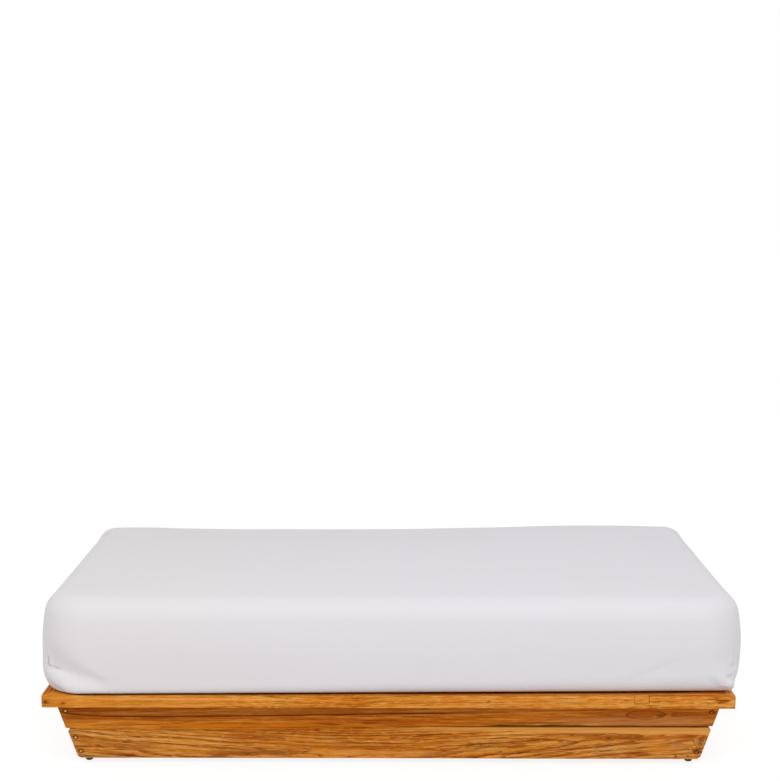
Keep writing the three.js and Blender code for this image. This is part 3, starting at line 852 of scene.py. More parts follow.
def crack_line(wood, colour, along, up, streak, dash):
    """A dark grain line under the rim, which drops from the left peg, climbs slowly to the right
    and fades, and the thin outline of an oval figure near the right end. Between the rim and the
    line the board is darker: darker wood, and painted shade of the rim's overhang."""
    level = (along + 0.80) * 0.0080 + hinge(along + 0.437, 0.03) * 0.0105 + 0.1487
    level = level + ((along + 0.90) / 0.06).fade() * 0.015
    away = up - level - (streak - 0.5) * 0.004 - (dash - 0.5) * 0.002
    strength = (1 - along.step(0.05, 0.45) * 0.85) * along.step(-0.93, -0.88)
    # Painted shade: between the rim and the line the board is darkened by the rim's overhang, together with
    # darker wood.
    above = (up - level).step(0.0, 0.003) * (1 - along.step(0.25, 0.9) * 0.6)
    oval = ((along - 0.713) / 0.052).length_with((up - 0.1580) / 0.0135) - 1 + (streak - 0.5) * 0.4
    return wood.layers(
        colour,
        (above * 0.42, TEAK_DEEP),
        ((1 - oval.step(-0.35, 0.0)) * 0.5, TEAK_RED),
        (oval.bell(0.09) * (dash * 0.8 + 0.3), TEAK_LINE),
        (away.bell(along.step(-0.40, 0.05) * 0.0010 + 0.0022) * strength * 0.95, CRACK),
    )


def sapwood(wood, colour, along, up, streak, dash):
    """A pale band along the top of the board, which widens to the right and has a wavy edge, and
    long dark lines that climb to the right below it."""
    edge = 0.1065 - along.step(0.12, 0.85) * 0.0105 + (streak - 0.5) * 0.012 + (dash - 0.5) * 0.006
    band = (up - edge).step(-0.001, 0.0025) * along.step(-0.05, 0.30)
    split = up - 0.1115 - (streak - 0.5) * 0.003
    layers = [
        (band * (dash * 0.7 + 0.45), TEAK_GOLD),
        (band * (dash * 0.9 + 0.10), TEAK_PALE),
        (split.bell(0.0013) * band * dash * 0.9, TEAK_RED),
        ((up - edge + 0.010).bell(0.007) * along.step(0.35, 0.55) * 0.55, TEAK_RED),
    ]
    for start, low, end, high in DARK_LINES:
        level = (along - start) * ((high - low) / (end - start)) + low + (streak - 0.5) * 0.006
        reach = along.between(start, start + 0.08, end - 0.08, end)
        layers.append(((up - level).bell(0.0016) * reach * (dash * 1.2 + 0.1), TEAK_LINE))
    return wood.layers(colour, *layers)


# %% Teak for the front
board_teak = {
    "rim_front": teak(
        "teak_rim_front", (-0.41, 0.13), slope=(0.0, 0.008), warmth=0.592,
        figure=0.22, threads=0.35, speckle=1.35,
        knots=(
            (-0.937, 0.2085, 0.014, 0.009, 0.014, 0.85), (-0.889, 0.2038, 0.009, 0.006, 0.010, 0.70),
            (0.275, 0.2115, 0.006, 0.004, 0.008, 0.7), (0.912, 0.2115, 0.020, 0.008, 0.012, 0.25),
        ),
        patches=(
            (-0.70, 0.211, 0.34, 0.030, 0.6, TEAK_GOLD), (-0.62, 0.2165, 0.25, 0.004, 0.6, TEAK_PALE),
            (0.24, 0.209, 0.30, 0.030, 0.35, TEAK_BROWN), (0.914, 0.2144, 0.024, 0.0035, 1.0, TEAK_LINE),
            (0.885, 0.2085, 0.030, 0.002, 0.8, TEAK_DEEP), (0.885, 0.2175, 0.030, 0.002, 0.8, TEAK_DEEP),
        ),
    ),
    "upper_front": teak(
        "teak_upper_front", (-0.33, 0.16), slope=(0.010, 0.020), warmth=0.51, ring=0.0066,
        figure=0.25, speckle=0.35, stains=STAINS["upper"], more=crack_line,
        knots=((0.752, 0.1570, 0.017, 0.008, 0.012, 0.90), (0.896, 0.1645, 0.009, 0.006, 0.010, 0.85)),
        patches=(
            (-0.44, 0.1200, 0.26, 0.0055, 1.2, TEAK_AMBER), (0.02, 0.1215, 0.50, 0.0045, 0.7, TEAK_AMBER),
            (-0.859, 0.1222, 0.040, 0.0065, 0.9, TEAK_GOLD), (-0.675, 0.1205, 0.040, 0.0045, 0.9, TEAK_GOLD),
            (-0.165, 0.1265, 0.045, 0.0040, 0.9, TEAK_DEEP), (-0.050, 0.1300, 0.035, 0.0050, 0.9, TEAK_DEEP),
            (-0.87, 0.150, 0.035, 0.012, 0.6, TEAK_DEEP), (0.70, 0.140, 0.28, 0.018, 0.55, TEAK_GREY),
        ),
    ),
    "lower_front": teak(
        "teak_lower_front", (-0.31, 0.040), slope=(0.02, 0.0), warmth=0.643, ring=0.0068,
        figure=0.95, speckle=1.2, threads=1.3, stains=STAINS["lower"], more=sapwood,
        rises=((0.12, 1, 0.092), (-0.45, -1, 0.10)),
        knots=(
            (0.614, 0.0837, 0.013, 0.008, 0.018, 0.85), (0.868, 0.0700, 0.012, 0.016, 0.022, 0.45),
            (0.847, 0.0506, 0.006, 0.004, 0.008, 0.5), (0.804, 0.0243, 0.006, 0.004, 0.006, 0.5),
        ),
        patches=(
            (-0.02, 0.0600, 0.42, 0.045, 0.15, TEAK_GOLD), (-0.37, 0.0870, 0.09, 0.012, 0.6, TEAK_RED),
            (0.770, 0.053, 0.060, 0.022, 0.7, TEAK_GOLD), (-0.725, 0.0267, 0.035, 0.007, 1.0, TEAK_DEEP),
            (0.700, 0.0350, 0.048, 0.008, 0.9, TEAK_DEEP), (0.614, 0.0837, 0.050, 0.010, 0.6, TEAK_RED),
            (0.866, 0.045, 0.020, 0.012, 1.0, TEAK_DEEP), (0.815, 0.060, 0.030, 0.016, 0.45, TEAK_GREY),
            (0.862, 0.074, 0.012, 0.012, 0.8, TEAK_GREY),
        ),
    ),
}

# %% Teak for the other sides
OTHER_FIGURE = {  # heart, slope, warmth and knots
    "rim_back": ((-0.39, 0.15), (0.0, 0.015), 0.57, [(-0.42, 0.2125, 0.030, 0.010, 0.016, 0.5)]),
    "rim_left": ((-0.90, 0.12), (0.01, 0.010), 0.59, [(0.18, 0.2105, 0.020, 0.009, 0.012, 0.5)]),
    "rim_right": ((-0.88, 0.14), (0.01, -0.010), 0.60, [(-0.22, 0.2085, 0.026, 0.008, 0.012, 0.4)]),
    "upper_back": ((-0.34, 0.12), (0.02, 0.015), 0.52,
                   [(-0.30, 0.150, 0.030, 0.014, 0.022, 0.6), (0.55, 0.140, 0.02, 0.010, 0.014, 0.5)]),
    "upper_left": ((-0.86, 0.15), (0.03, -0.020), 0.53, [(0.12, 0.148, 0.034, 0.014, 0.020, 0.5)]),
    "upper_right": ((-0.87, 0.19), (0.03, 0.030), 0.51, [(-0.17, 0.160, 0.026, 0.012, 0.018, 0.6)]),
    "lower_back": ((-0.32, 0.06), (0.02, 0.035), 0.56,
                   [(0.33, 0.070, 0.030, 0.016, 0.024, 0.6), (-0.62, 0.05, 0.016, 0.01, 0.014, 0.6)]),
    "lower_left": ((-0.84, 0.05), (0.03, 0.050), 0.57, [(-0.14, 0.060, 0.028, 0.016, 0.022, 0.5)]),
    "lower_right": ((-0.83, 0.08), (0.04, -0.050), 0.55, [(0.20, 0.075, 0.024, 0.013, 0.018, 0.6)]),
}
for board, (heart, slope, warmth, knots) in OTHER_FIGURE.items():
    level, side_name = board.split("_")
    turn = -SIDES[side_name]["turn"]
    stains = STAINS[level] if side_name == "back" else []
    board_teak[board] = teak("teak_" + board, heart, turn, slope, warmth=warmth, knots=knots, stains=stains)

# %% Make and set the boards
APRON_LEVELS = {"upper": (upper_box[0].z, APRON_TOP, 10), "lower": (lower_box[0].z, lower_box[1].z, 20)}
for number, (side_name, side) in enumerate(SIDES.items()):
    seed = 100 * (number + 1)
    rim = rim_board(side_name, side, seed, RIM_CHIPS if side_name == "front" else ())
    finish_piece(rim, "base", "teak", board_teak["rim_" + side_name], f"rim_{side_name}")
    for level, (low, high, seed_step) in APRON_LEVELS.items():
        board = apron_board(side_name, side, level, low, high, seed + seed_step)
        board_finish = board_teak[f"{level}_{side_name}"]
        finish_piece(board, "base", "teak", board_finish, f"apron_{level}_{side_name}")
print("twelve boards made")

# %% [markdown]
# The repair in the rim's front edge is a small block let into a pocket. The pocket is cut into the
# board with a boolean that is applied at once, and the block fills it but for a thin, dark joint.

# %% Repair patch
PATCH_JOINT = 0.0010
POCKET_OVERRUN = 0.01
PATCH_RADIUS = 0.0009
PATCH_SUNK_IN, PATCH_SUNK_DOWN = 0.0006, 0.0004


def add_modifier(piece, name, kind, **settings):
    """Adds a modifier and gives it its settings."""
    modifier = piece.modifiers.new(name, kind)
    for setting, value in settings.items():
        setattr(modifier, setting, value)


def cut_from(piece, cutter):
    """Takes the cutter's solid out of the piece for good, and throws the cutter away."""
    add_modifier(piece, "cut", "BOOLEAN", operation="DIFFERENCE", solver="EXACT", object=cutter)
    evaluated = piece.evaluated_get(bpy.context.evaluated_depsgraph_get())
    cut_mesh = bpy.data.meshes.new_from_object(evaluated)
    piece.modifiers.clear()
    piece.data = cut_mesh
    bpy.data.objects.remove(cutter)
    piece.data.set_sharp_from_angle(angle=SHARP_ANGLE)


def block(name, low, high, radius, wear_and_highlight=0.0, grime_and_shade=0.0):
    """A block between two corners, with rounded edges."""
    run, inward, up = board_points(*(high - low), [radius] * 4, radius, 4, 4)
    marks = {"wear_and_highlight": np.full_like(run, wear_and_highlight), "grime_and_shade": np.full_like(run, grime_and_shade)}
    return bar(name, grid_of(low[0] + run, low[1] + inward, low[2] + up), marks)


patch_low, patch_high = (np.array(corner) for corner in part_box("rim_repair_patch"))
pocket_low = patch_low - (0, POCKET_OVERRUN, 0) - PATCH_JOINT
pocket_high = patch_high + (0, 0, POCKET_OVERRUN) + PATCH_JOINT
pocket = block("pocket", pocket_low, pocket_high, TIGHT_RADIUS, grime_and_shade=1.0)
cut_from(bpy.data.objects["rim_board_front"], pocket)

patch_teak = teak("teak_patch", (-0.44, 0.20), slope=(0.02, 0.04), ring=0.009, warmth=0.66, figure=0.1)
patch_low, patch_high = patch_low + (0, PATCH_SUNK_IN, 0), patch_high - (0, 0, PATCH_SUNK_DOWN)
patch = block("repair_patch", patch_low, patch_high, PATCH_RADIUS, wear_and_highlight=0.5)
finish_piece(patch, "base", "teak", patch_teak, "rim_repair_patch")

# %% [markdown]
# ## Pegs
#
# The long boards are pinned to the ends of the side boards with wooden pegs, sawn off flush and
# now a little proud. A peg is a round profile carried straight along its axis, square to the
# leaning face. Its end is end grain, paler than the board, with a dark joint round it.

# %% Pegs
PEG_POINTS = 24
PEG_LENGTH = 0.060
PEG_PROUD = 0.0014
PEG_PROFILE = (  # place along the axis, radius, and how dark it is there
    (-PEG_PROUD, 0.0012, 0), (-PEG_PROUD, 0.0028, 0), (-PEG_PROUD * 0.6, 0.0038, 0.75),
    (0.0005, PEG_RADIUS, 1), (0.004, PEG_RADIUS, 1),
    (PEG_LENGTH - 0.0005, PEG_RADIUS, 1), (PEG_LENGTH, 0.004, 1),
)
PEG_PALE = (0.94, 0.58, 0.20)


def pegwood(name, *stops):
    """End grain: fine pores and soft clouds, darker towards the joint."""
    wood = Finish(name)
    place = wood.place()
    speck = wood.noise(place, 900.0)
    cloud = wood.noise(place, 160.0)
    colour = wood.ramp(speck * 0.5 + cloud * 0.5, *stops)
    return wood.done(
        Base_Color=wood.mix(wood.mark("grime_and_shade"), colour, GRIME_AND_SHADE),
        Roughness=0.5 + speck * 0.2,
        Specular_IOR_Level=TEAK_GLOSS,
        Normal=wood.bump(speck, 0.0004, 0.5),
    )


def turned_profile(reach, radius, sides):
    """Rings round an axis: each row's place along it, and its points' two distances from it."""
    angle = np.linspace(0, 2 * np.pi, sides, endpoint=False)
    return reach[:, None], radius[:, None] * np.cos(angle), radius[:, None] * np.sin(angle)


def peg(name, level, proud, end, turn):
    """Rings from the domed end inwards, along the line square to the leaning face."""
    reach, radius, dark = np.array(PEG_PROFILE).T
    along, ring_x, ring_up = turned_profile(reach, radius, PEG_POINTS)
    cos, sin = np.cos(LEAN_ANGLE), np.sin(LEAN_ANGLE)
    x = end * (HALF_LENGTH - face_inset(level) - APRON_THICKNESS / 2) + ring_x
    y = face_inset(level) - proud - HALF_DEPTH + along * cos - ring_up * sin
    z = level + along * sin + ring_up * cos
    return bar(name, turned(x, y, z, turn), {"grime_and_shade": np.broadcast_to(dark[:, None], x.shape)})


peg_finish = {
    "left": pegwood("peg_end_grain", (0.30, TEAK_GOLD), (0.50, TEAK_PALE), (0.75, PEG_PALE)),
    "right": pegwood("peg_end_grain_aged", (0.30, TEAK_RED), (0.50, TEAK_BROWN), (0.75, TEAK_GREY)),
}
for row, turn in (("front", 0.0), ("back", np.pi)):
    for hand, side_sign in (("left", -1), ("right", 1)):
        for number, proud in ((1, 0.0), (2, LOWER_PROUD), (3, LOWER_PROUD)):
            place = f"{row}_{hand}_{number}"
            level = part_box("corner_peg_" + place)[0].z + PEG_RADIUS * np.cos(LEAN_ANGLE)
            made = peg("peg_" + place, level, proud, side_sign * np.cos(turn), turn)
            finish_piece(made, "base", "peg_wood", peg_finish[hand], "corner_peg_" + place)
print("twelve pegs made")

# %% [markdown]
# ## Glides
#
# The divan stands on hard plastic glides, each with a nail that is driven into the timber. They are
# turned shapes: a domed sole, a rounded edge, a slightly tapered side and a collar.

# %% Glides
GLIDE_POINTS = 32
GLIDE_PROFILE = (  # height above the floor and radius, in millimetres
    (0.0, 0.0), (0.0, 5.5), (0.15, 7.6), (1.2, 9.6), (3.0, 10.7), (4.6, 11.0), (9.0, 10.9),
    (13.2, 10.7), (13.8, 10.4), (14.2, 10.4), (14.6, 10.9), (15.6, 11.0), (16.0, 10.6), (16.0, 2.6),
    (16.1, 1.6), (38.0, 1.5), (40.0, 0.0),
)
PLASTIC_DARK, PLASTIC_LIGHT = (0.018, 0.014, 0.012), (0.045, 0.036, 0.030)
SCUFF = (0.16, 0.14, 0.12)


def hard_plastic(name):
    """Dark moulded plastic, scuffed grey on its sole and dusty on its sides."""
    plastic = Finish(name)
    place = plastic.place()
    grain = plastic.noise(place, 600.0, 3.0)
    scuffs = plastic.noise(place, (90.0, 320.0), 3.0).step(0.52, 0.72)
    sole = 1 - place.split()[2].step(0.0005, 0.004)
    colour = plastic.mix(grain, PLASTIC_DARK, PLASTIC_LIGHT)
    return plastic.done(
        Base_Color=plastic.mix(scuffs * (sole * 0.5 + 0.18), colour, SCUFF),
        Roughness=0.42 + grain * 0.15 + sole * 0.2,
        Normal=plastic.bump(grain, 0.0002, 0.5),
    )


glide_finish = hard_plastic("glide_plastic")
height, ring_x, ring_y = turned_profile(*np.array(GLIDE_PROFILE).T / 1000, GLIDE_POINTS)
for node in sorted(name for name in nodes if name.startswith("glide_")):
    middle = middle_of(node)
    points = grid_of(middle.x + ring_x, middle.y + ring_y, height)
    finish_piece(bar(node + "_turned", points), "base", "glide_plastic", glide_finish, node)

# %% [markdown]
# ## The timber inside
#
# Posts, cleats, slats and rails are plain sawn timber, and the construction model already has them
# right. They keep their meshes and get a small bevel, which every real edge has, and a rougher
# wood than the outside: saw marks, knots and no polish. A mesh from the frame is loose triangles,
# so a weld comes before the bevel.

# %% Inner timber
QUARTER = np.pi / 2
EDGE_WIDTH, SLAT_EDGE_WIDTH = 0.0016, 0.0022
SAWN_TONES = ((0.25, (0.24, 0.115, 0.040)), (0.5, (0.44, 0.235, 0.090)), (0.75, (0.60, 0.37, 0.16)))
SAWN_LINE, SAWN_KNOT = (0.20, 0.085, 0.028), (0.09, 0.035, 0.014)


def sawn_timber(name, turn, seed):
    """Unpolished timber with its grain along X, or along Y where turn is a quarter turn."""
    wood = Finish(name)
    place = wood.place(turn, (seed * 1.7, seed * 0.9, seed * 0.4))
    along, inward, up = place.split()
    shift = wood.noise(place, (1.6, 9.0)) - 0.5
    from_heart = (inward * 7.3).part() - 0.5 + shift * 0.6
    above_heart = (up * 5.1).part() - 0.5 + shift * 0.4
    line = (from_heart.length_with(above_heart) * 26.0).part().between(0.3, 0.9, 0.93, 1.0)
    tone = wood.noise(place, (2.0, 40.0), 4.0, 0.6)
    fine = wood.noise(place, (12.0, 500.0), 3.0, 0.6)
    cells = {"Vector": place * (2.2, 7.0, 7.0), "Scale": 1.0}
    knot = 1 - wood.node("TexVoronoi", {"feature": "F1"}, cells, out="Distance").step(0.03, 0.10)
    colour = wood.ramp(tone * 0.7 + fine * 0.3, *SAWN_TONES)
    saw = ((along * 900.0 + up * 120.0).sine() * 0.5 + 0.5) * wood.noise(place, 14.0, 1.0)
    return wood.done(
        Base_Color=wood.layers(colour, (line * 0.35, SAWN_LINE), (knot * 0.8, SAWN_KNOT)),
        Roughness=0.68 + fine * 0.2,
        Specular_IOR_Level=0.25,
        Normal=wood.bump(fine * 0.6 + saw * 0.5 - line * 0.2, 0.0006, 0.6),
    )


def ease_node(node, material, width=EDGE_WIDTH):
    """Welds a node of the frame, joins its flat faces and rounds its edges a little."""
    piece = nodes[node]
    add_modifier(piece, "weld", "WELD", merge_threshold=1e-5)
    add_modifier(piece, "flat", "DECIMATE", decimate_type="DISSOLVE", angle_limit=np.radians(1))
    limits = {"limit_method": "ANGLE", "angle_limit": np.radians(25), "use_clamp_overlap": True}
    add_modifier(piece, "bevel", "BEVEL", width=width, segments=2, **limits)
    piece.data.materials.clear()
    piece.data.materials.append(material)


timber_along = [sawn_timber("timber_along", 0.0, 1), sawn_timber("timber_along_2", 0.0, 2)]
timber_across = [sawn_timber(f"timber_across_{k}", QUARTER, 3 + k) for k in range(3)]

for node in ("cleat_front", "cleat_back", "centre_bearer"):
    ease_node(node, timber_along[node == "cleat_back"])
for node in ("cleat_left", "cleat_right", "cross_rail_left", "cross_rail_right"):
    ease_node(node, timber_across[node.endswith("right")])
for node in (name for name in nodes if name.startswith(("corner_post", "centre_foot"))):
    ease_node(node, timber_across[2])
slat_nodes = sorted(name for name in nodes if name.startswith("slat_") and name[-1].isdigit())
for number, node in enumerate(slat_nodes):
    ease_node(node, timber_across[number % 3], SLAT_EDGE_WIDTH)
print(len(slat_nodes), "slats eased")

# %% [markdown]
# ## Webbing tapes
#
# Two cotton tapes hold the slats at their spacing. Each is a thin band that sags a little between
# the slats, and staples hold it to every one of them.

# %% Tapes
TAPE_THICKNESS = 0.0013
TAPE_SAG = 0.0032
TAPE_STEP = 0.006
TAPE_SWAY = 0.0012
TAPE_MARGIN = 0.0008
STRIPE_PLACE, STRIPE_HALF_WIDTH = 0.2157, 0.0088
WEBBING_DARK, WEBBING_LIGHT = (0.58, 0.50, 0.36), (0.74, 0.67, 0.52)
STRIPE_BROWN, THREAD_SHADE = (0.30, 0.20, 0.11), (0.40, 0.33, 0.22)

slat_low, slat_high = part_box(slat_nodes[0])
slat_half = (slat_high.x - slat_low.x) / 2
slat_middles = np.array([middle_of(node).x for node in slat_nodes])


def tape_level(x, seed):
    """The height of the tape's underside: on the slats it lies flat, and between them it hangs in
    a shallow arc."""
    away = np.min(np.abs(x - slat_middles), axis=1, keepdims=True)
    pitch = slat_middles[1] - slat_middles[0]
    share = np.clip((away - slat_half) / (pitch / 2 - slat_half), 0, 1)
    sag = TAPE_SAG * (0.75 + 0.25 * drift(x, seed, 0.4)) * np.sin(share * np.pi / 2) ** 2
    return SLAT_TOP + TOUCH - sag


def webbing(name):
    """Cotton webbing: threads across and along, and a darker stripe near each edge."""
    cloth = Finish(name)
    place = cloth.place()
    along, across, _ = place.split()
    threads = (along * 2600.0).sine() * (across * 4200.0).sine()
    from_stripe = abs((abs(across) - STRIPE_PLACE) / STRIPE_HALF_WIDTH)
    stripe = 1 - abs(from_stripe - 1).step(0.08, 0.2)
    colour = cloth.mix(cloth.noise(place, 60.0, 3.0), WEBBING_DARK, WEBBING_LIGHT)
    return cloth.done(
        Base_Color=cloth.layers(
            colour, (stripe * 0.7, STRIPE_BROWN), ((threads * 0.5 + 0.5) * 0.3, THREAD_SHADE)
        ),
        Roughness=0.9,
        Sheen_Weight=0.2,
        Normal=cloth.bump(threads, 0.0004, 0.6),
    )


def tape(name, node, seed):
    """A flat ring of six points carried along X, following the level under it."""
    low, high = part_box(node)
    x = np.arange(low.x, high.x, TAPE_STEP)[:, None]
    half = (high.y - low.y) / 2 - TAPE_MARGIN
    ring_y = np.array([-half, 0, half, half, 0, -half]) + middle_of(node).y
    ring_z = np.array([0, 0, 0, 1, 1, 1]) * TAPE_THICKNESS
    sway = TAPE_SWAY * drift(x, seed + 1, 0.5)
    return bar(name, grid_of(x, ring_y + sway, tape_level(x, seed) + ring_z))


# %% Staples
STAPLE_CROWN = 0.0105
STAPLE_WIRE = 0.0006
STAPLE_SHIFTS = (-0.024, 0.021)


def metal(name, dark, light, rough):
    """Plated metal with a dull, uneven tone."""
    plate = Finish(name)
    cloud = plate.noise(plate.place(), 300.0, 3.0)
    return plate.done(Base_Color=plate.mix(cloud, dark, light), Metallic=1.0, Roughness=rough + cloud * 0.2)


def many(name, shape, places):
    """One mesh that repeats a small closed grid at many places, each copy with its own lids."""
    rows, columns = shape.shape[:2]
    points = shape.reshape(1, -1, 3) + np.asarray(places)[:, None, :]
    faces = []
    for copy in range(len(places)):
        faces += closed_faces(rows, columns, copy * rows * columns)
    return close_up(mesh_from(name, points, faces))


def staple_shape():
    """A square wire bent into a low bridge: legs down at both ends of a straight crown."""
    reach = np.array([-1, -1, -0.96, 0.96, 1, 1])[:, None] * STAPLE_CROWN / 2
    rise = np.array([-1.2, -0.1, 0.55, 0.55, -0.1, -1.2])[:, None] * STAPLE_WIRE
    thinned = np.array([0.2, 0.6, 1, 1, 0.6, 0.2])[:, None]
    side = np.array([-1, 1, 1, -1]) * STAPLE_WIRE / 2
    lift = np.array([-1, -1, 1, 1]) * STAPLE_WIRE / 2
    return grid_of(side, reach, rise + lift * thinned)


zinc = metal("zinc", (0.30, 0.30, 0.31), (0.62, 0.61, 0.58), 0.32)
brass = metal("brass", (0.36, 0.24, 0.09), (0.72, 0.54, 0.24), 0.30)

webbing_cloth = webbing("webbing_cotton")
for seed, node in enumerate(("slat_tape_front", "slat_tape_back")):
    finish_piece(tape(node + "_woven", node, 40 + seed), "base", "webbing", webbing_cloth, node)
    places = [
        (x + shift, middle_of(node).y + 0.0006 * np.sin(9 * x), SLAT_TOP + TOUCH + TAPE_THICKNESS)
        for x in slat_middles
        for shift in STAPLE_SHIFTS
    ]
    staples = many(f"tape_staples_{node.split('_')[-1]}", staple_shape(), places)
    finish_piece(staples, "base", "glide_plastic", zinc)

# %% [markdown]
# Screws hold the slats to the cleats, and the cleats to the rim. Only their heads show. One small
# grid makes a head with a cross in it: the radius grows from the middle out, and the height dips
# where the angle points along a slot.

# %% Screws
SCREW_RADIUS = 0.0041
SCREW_SLOT = 0.0009
SCREW_SINK = 0.0002
SLAT_SCREW_INSET = 0.011
SLAT_SCREW_SHIFTS = (-0.028, 0.028)
CLEAT_SCREW_SPACING = 0.24
CLEAT_SCREW_INSET = 0.008
BOTH_ENDS = (-1, 1)


def screw_head(facing):
    """A raised countersunk head. facing is 1 for up and -1 for down."""
    angle = np.linspace(0, 2 * np.pi, 16, endpoint=False) + np.pi / 16
    radius = np.array([0.05, 0.3, 0.55, 0.85, 1.0, 1.0])[:, None] * SCREW_RADIUS
    dome = np.array([0.75, 0.7, 0.6, 0.3, 0.0, -1.4])[:, None] * 0.001
    in_slot = np.abs(np.sin(2 * angle)) < 0.55
    slot = np.array([1, 1, 0.9, 0, 0, 0])[:, None] * in_slot * SCREW_SLOT
    return grid_of(radius * np.cos(angle), radius * np.sin(angle), facing * (dome - slot))


slat_end = slat_high.y - SLAT_SCREW_INSET
slat_screw_xs = [x + shift for x in slat_middles for shift in SLAT_SCREW_SHIFTS]
slat_screw_places = [(x, end * slat_end, SLAT_TOP - SCREW_SINK) for x in slat_screw_xs for end in BOTH_ENDS]
finish_piece(many("slat_screws", screw_head(1), slat_screw_places), "base", "glide_plastic", zinc)

cleat_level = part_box("cleat_front")[0].z + SCREW_SINK
row_y = HALF_DEPTH - RIM_WIDTH + CLEAT_SCREW_INSET
row_x = HALF_LENGTH - RIM_WIDTH + CLEAT_SCREW_INSET
long_places = np.arange(-3, 4) * CLEAT_SCREW_SPACING
short_places = np.arange(-1, 2) * CLEAT_SCREW_SPACING
cleat_screw_places = [(x, end * row_y, cleat_level) for x in long_places for end in BOTH_ENDS]
cleat_screw_places += [(end * row_x, y, cleat_level) for y in short_places for end in BOTH_ENDS]
finish_piece(many("cleat_screws", screw_head(-1), cleat_screw_places), "base", "glide_plastic", brass)

# %% [markdown]
# ## The mattress
#
# The cover is drawn over the mattress like a lid over a box, and its hem turns under and is held by
# an elastic. Seen from above it is a rectangle with rounded corners at every height. So its grid
# has one row for each height and one column for each place round the rectangle. The sides draw in
# a little at the top and bottom, as padded sides do, the top edge is full and soft, and the top
# rises into a low crown.

# %% The mattress's own sizes
MATTRESS_LOW = cover_box[0].z
CROWN = 0.012
MATTRESS_HEIGHT = cover_box[1].z - MATTRESS_LOW - CROWN
BELLY = 0.42 * MATTRESS_HEIGHT

CAD_REACH = (cover_box[1].x, cover_box[1].x, cover_box[1].y, cover_box[1].y)
REACH_CHANGE = (-0.0011, 0.0066, 0.0, -0.0114)  # left, right, front, back
REACH = tuple(reach + change for reach, change in zip(CAD_REACH, REACH_CHANGE))
PLAN_RADIUS = (0.134, 0.134, 0.069)  # front left, front right, back
FOOT_PLAN_RADIUS = (0.120, 0.052, 0.069)
TOP_CORNER_RADIUS = (0.064, 0.0545)  # front, back
TOP_SIDE_RADIUS = 0.0667
TOP_LEAN = 0.195
BASE_LEANS = {"left": 0.54, "right": 0.88, "long": 0.05}
BASE_RADII = {"left": 0.0072, "right": 0.025, "long": (0.0199, 0.0624)}  # long: at its left and right
LOW_BELLY = 0.065
FOLD_SHARE = 0.36
CROWDING = 0.6
MIDDLE_SHARE = 1e-4
HEM_RADIUS = 0.040
HEM_WIDTH = 0.085
HEM_PLAN_RADIUS = (HEM_WIDTH + HEM_RADIUS,) * 3


def around_columns(arc_steps, long_steps, short_steps):
    """The places round the rectangle, anticlockwise from the right of the front. Each is a mix of
    two corners: their signs, the direction out from their centres, and the share between."""
    signs = [(1, -1), (1, 1), (-1, 1), (-1, -1)]
    places = []
    for corner, sign in enumerate(signs):
        angles = np.linspace(-np.pi / 2, 0, arc_steps + 1) + corner * np.pi / 2
        directions = [(np.cos(angle), np.sin(angle)) for angle in angles]
        places += [(sign, sign, direction, 0.0) for direction in directions]
        even = np.linspace(0, 1, (long_steps if corner % 2 else short_steps) + 1)[1:-1]
        graded = even - CROWDING * np.sin(2 * np.pi * even) / (2 * np.pi)
        places += [(sign, signs[(corner + 1) % 4], directions[-1], share) for share in graded]
    return [np.array(values, dtype=float) for values in zip(*places)]


def plan_points(columns, inset, reach=REACH, radius=PLAN_RADIUS):
    """x and y on the rounded rectangle that lies inset from the mattress's fullest outline:
    each corner's centre plus its radius times a direction, or a mix of two of those."""
    here, after, out, share = columns
    sides = []
    for axis in (0, 1):
        ends = []
        for signs in (here, after):
            half = np.where(signs[:, axis] < 0, reach[2 * axis], reach[2 * axis + 1])
            corner_radius = np.where(signs[:, 1] > 0, radius[2], np.where(signs[:, 0] < 0, *radius[:2]))
            turn = np.maximum(corner_radius - inset, HEM_RADIUS / 2)
            ends.append(signs[:, axis] * (half - inset - turn) + turn * out[:, axis])
        sides.append(ends[0] * (1 - share) + ends[1] * share)
    return sides


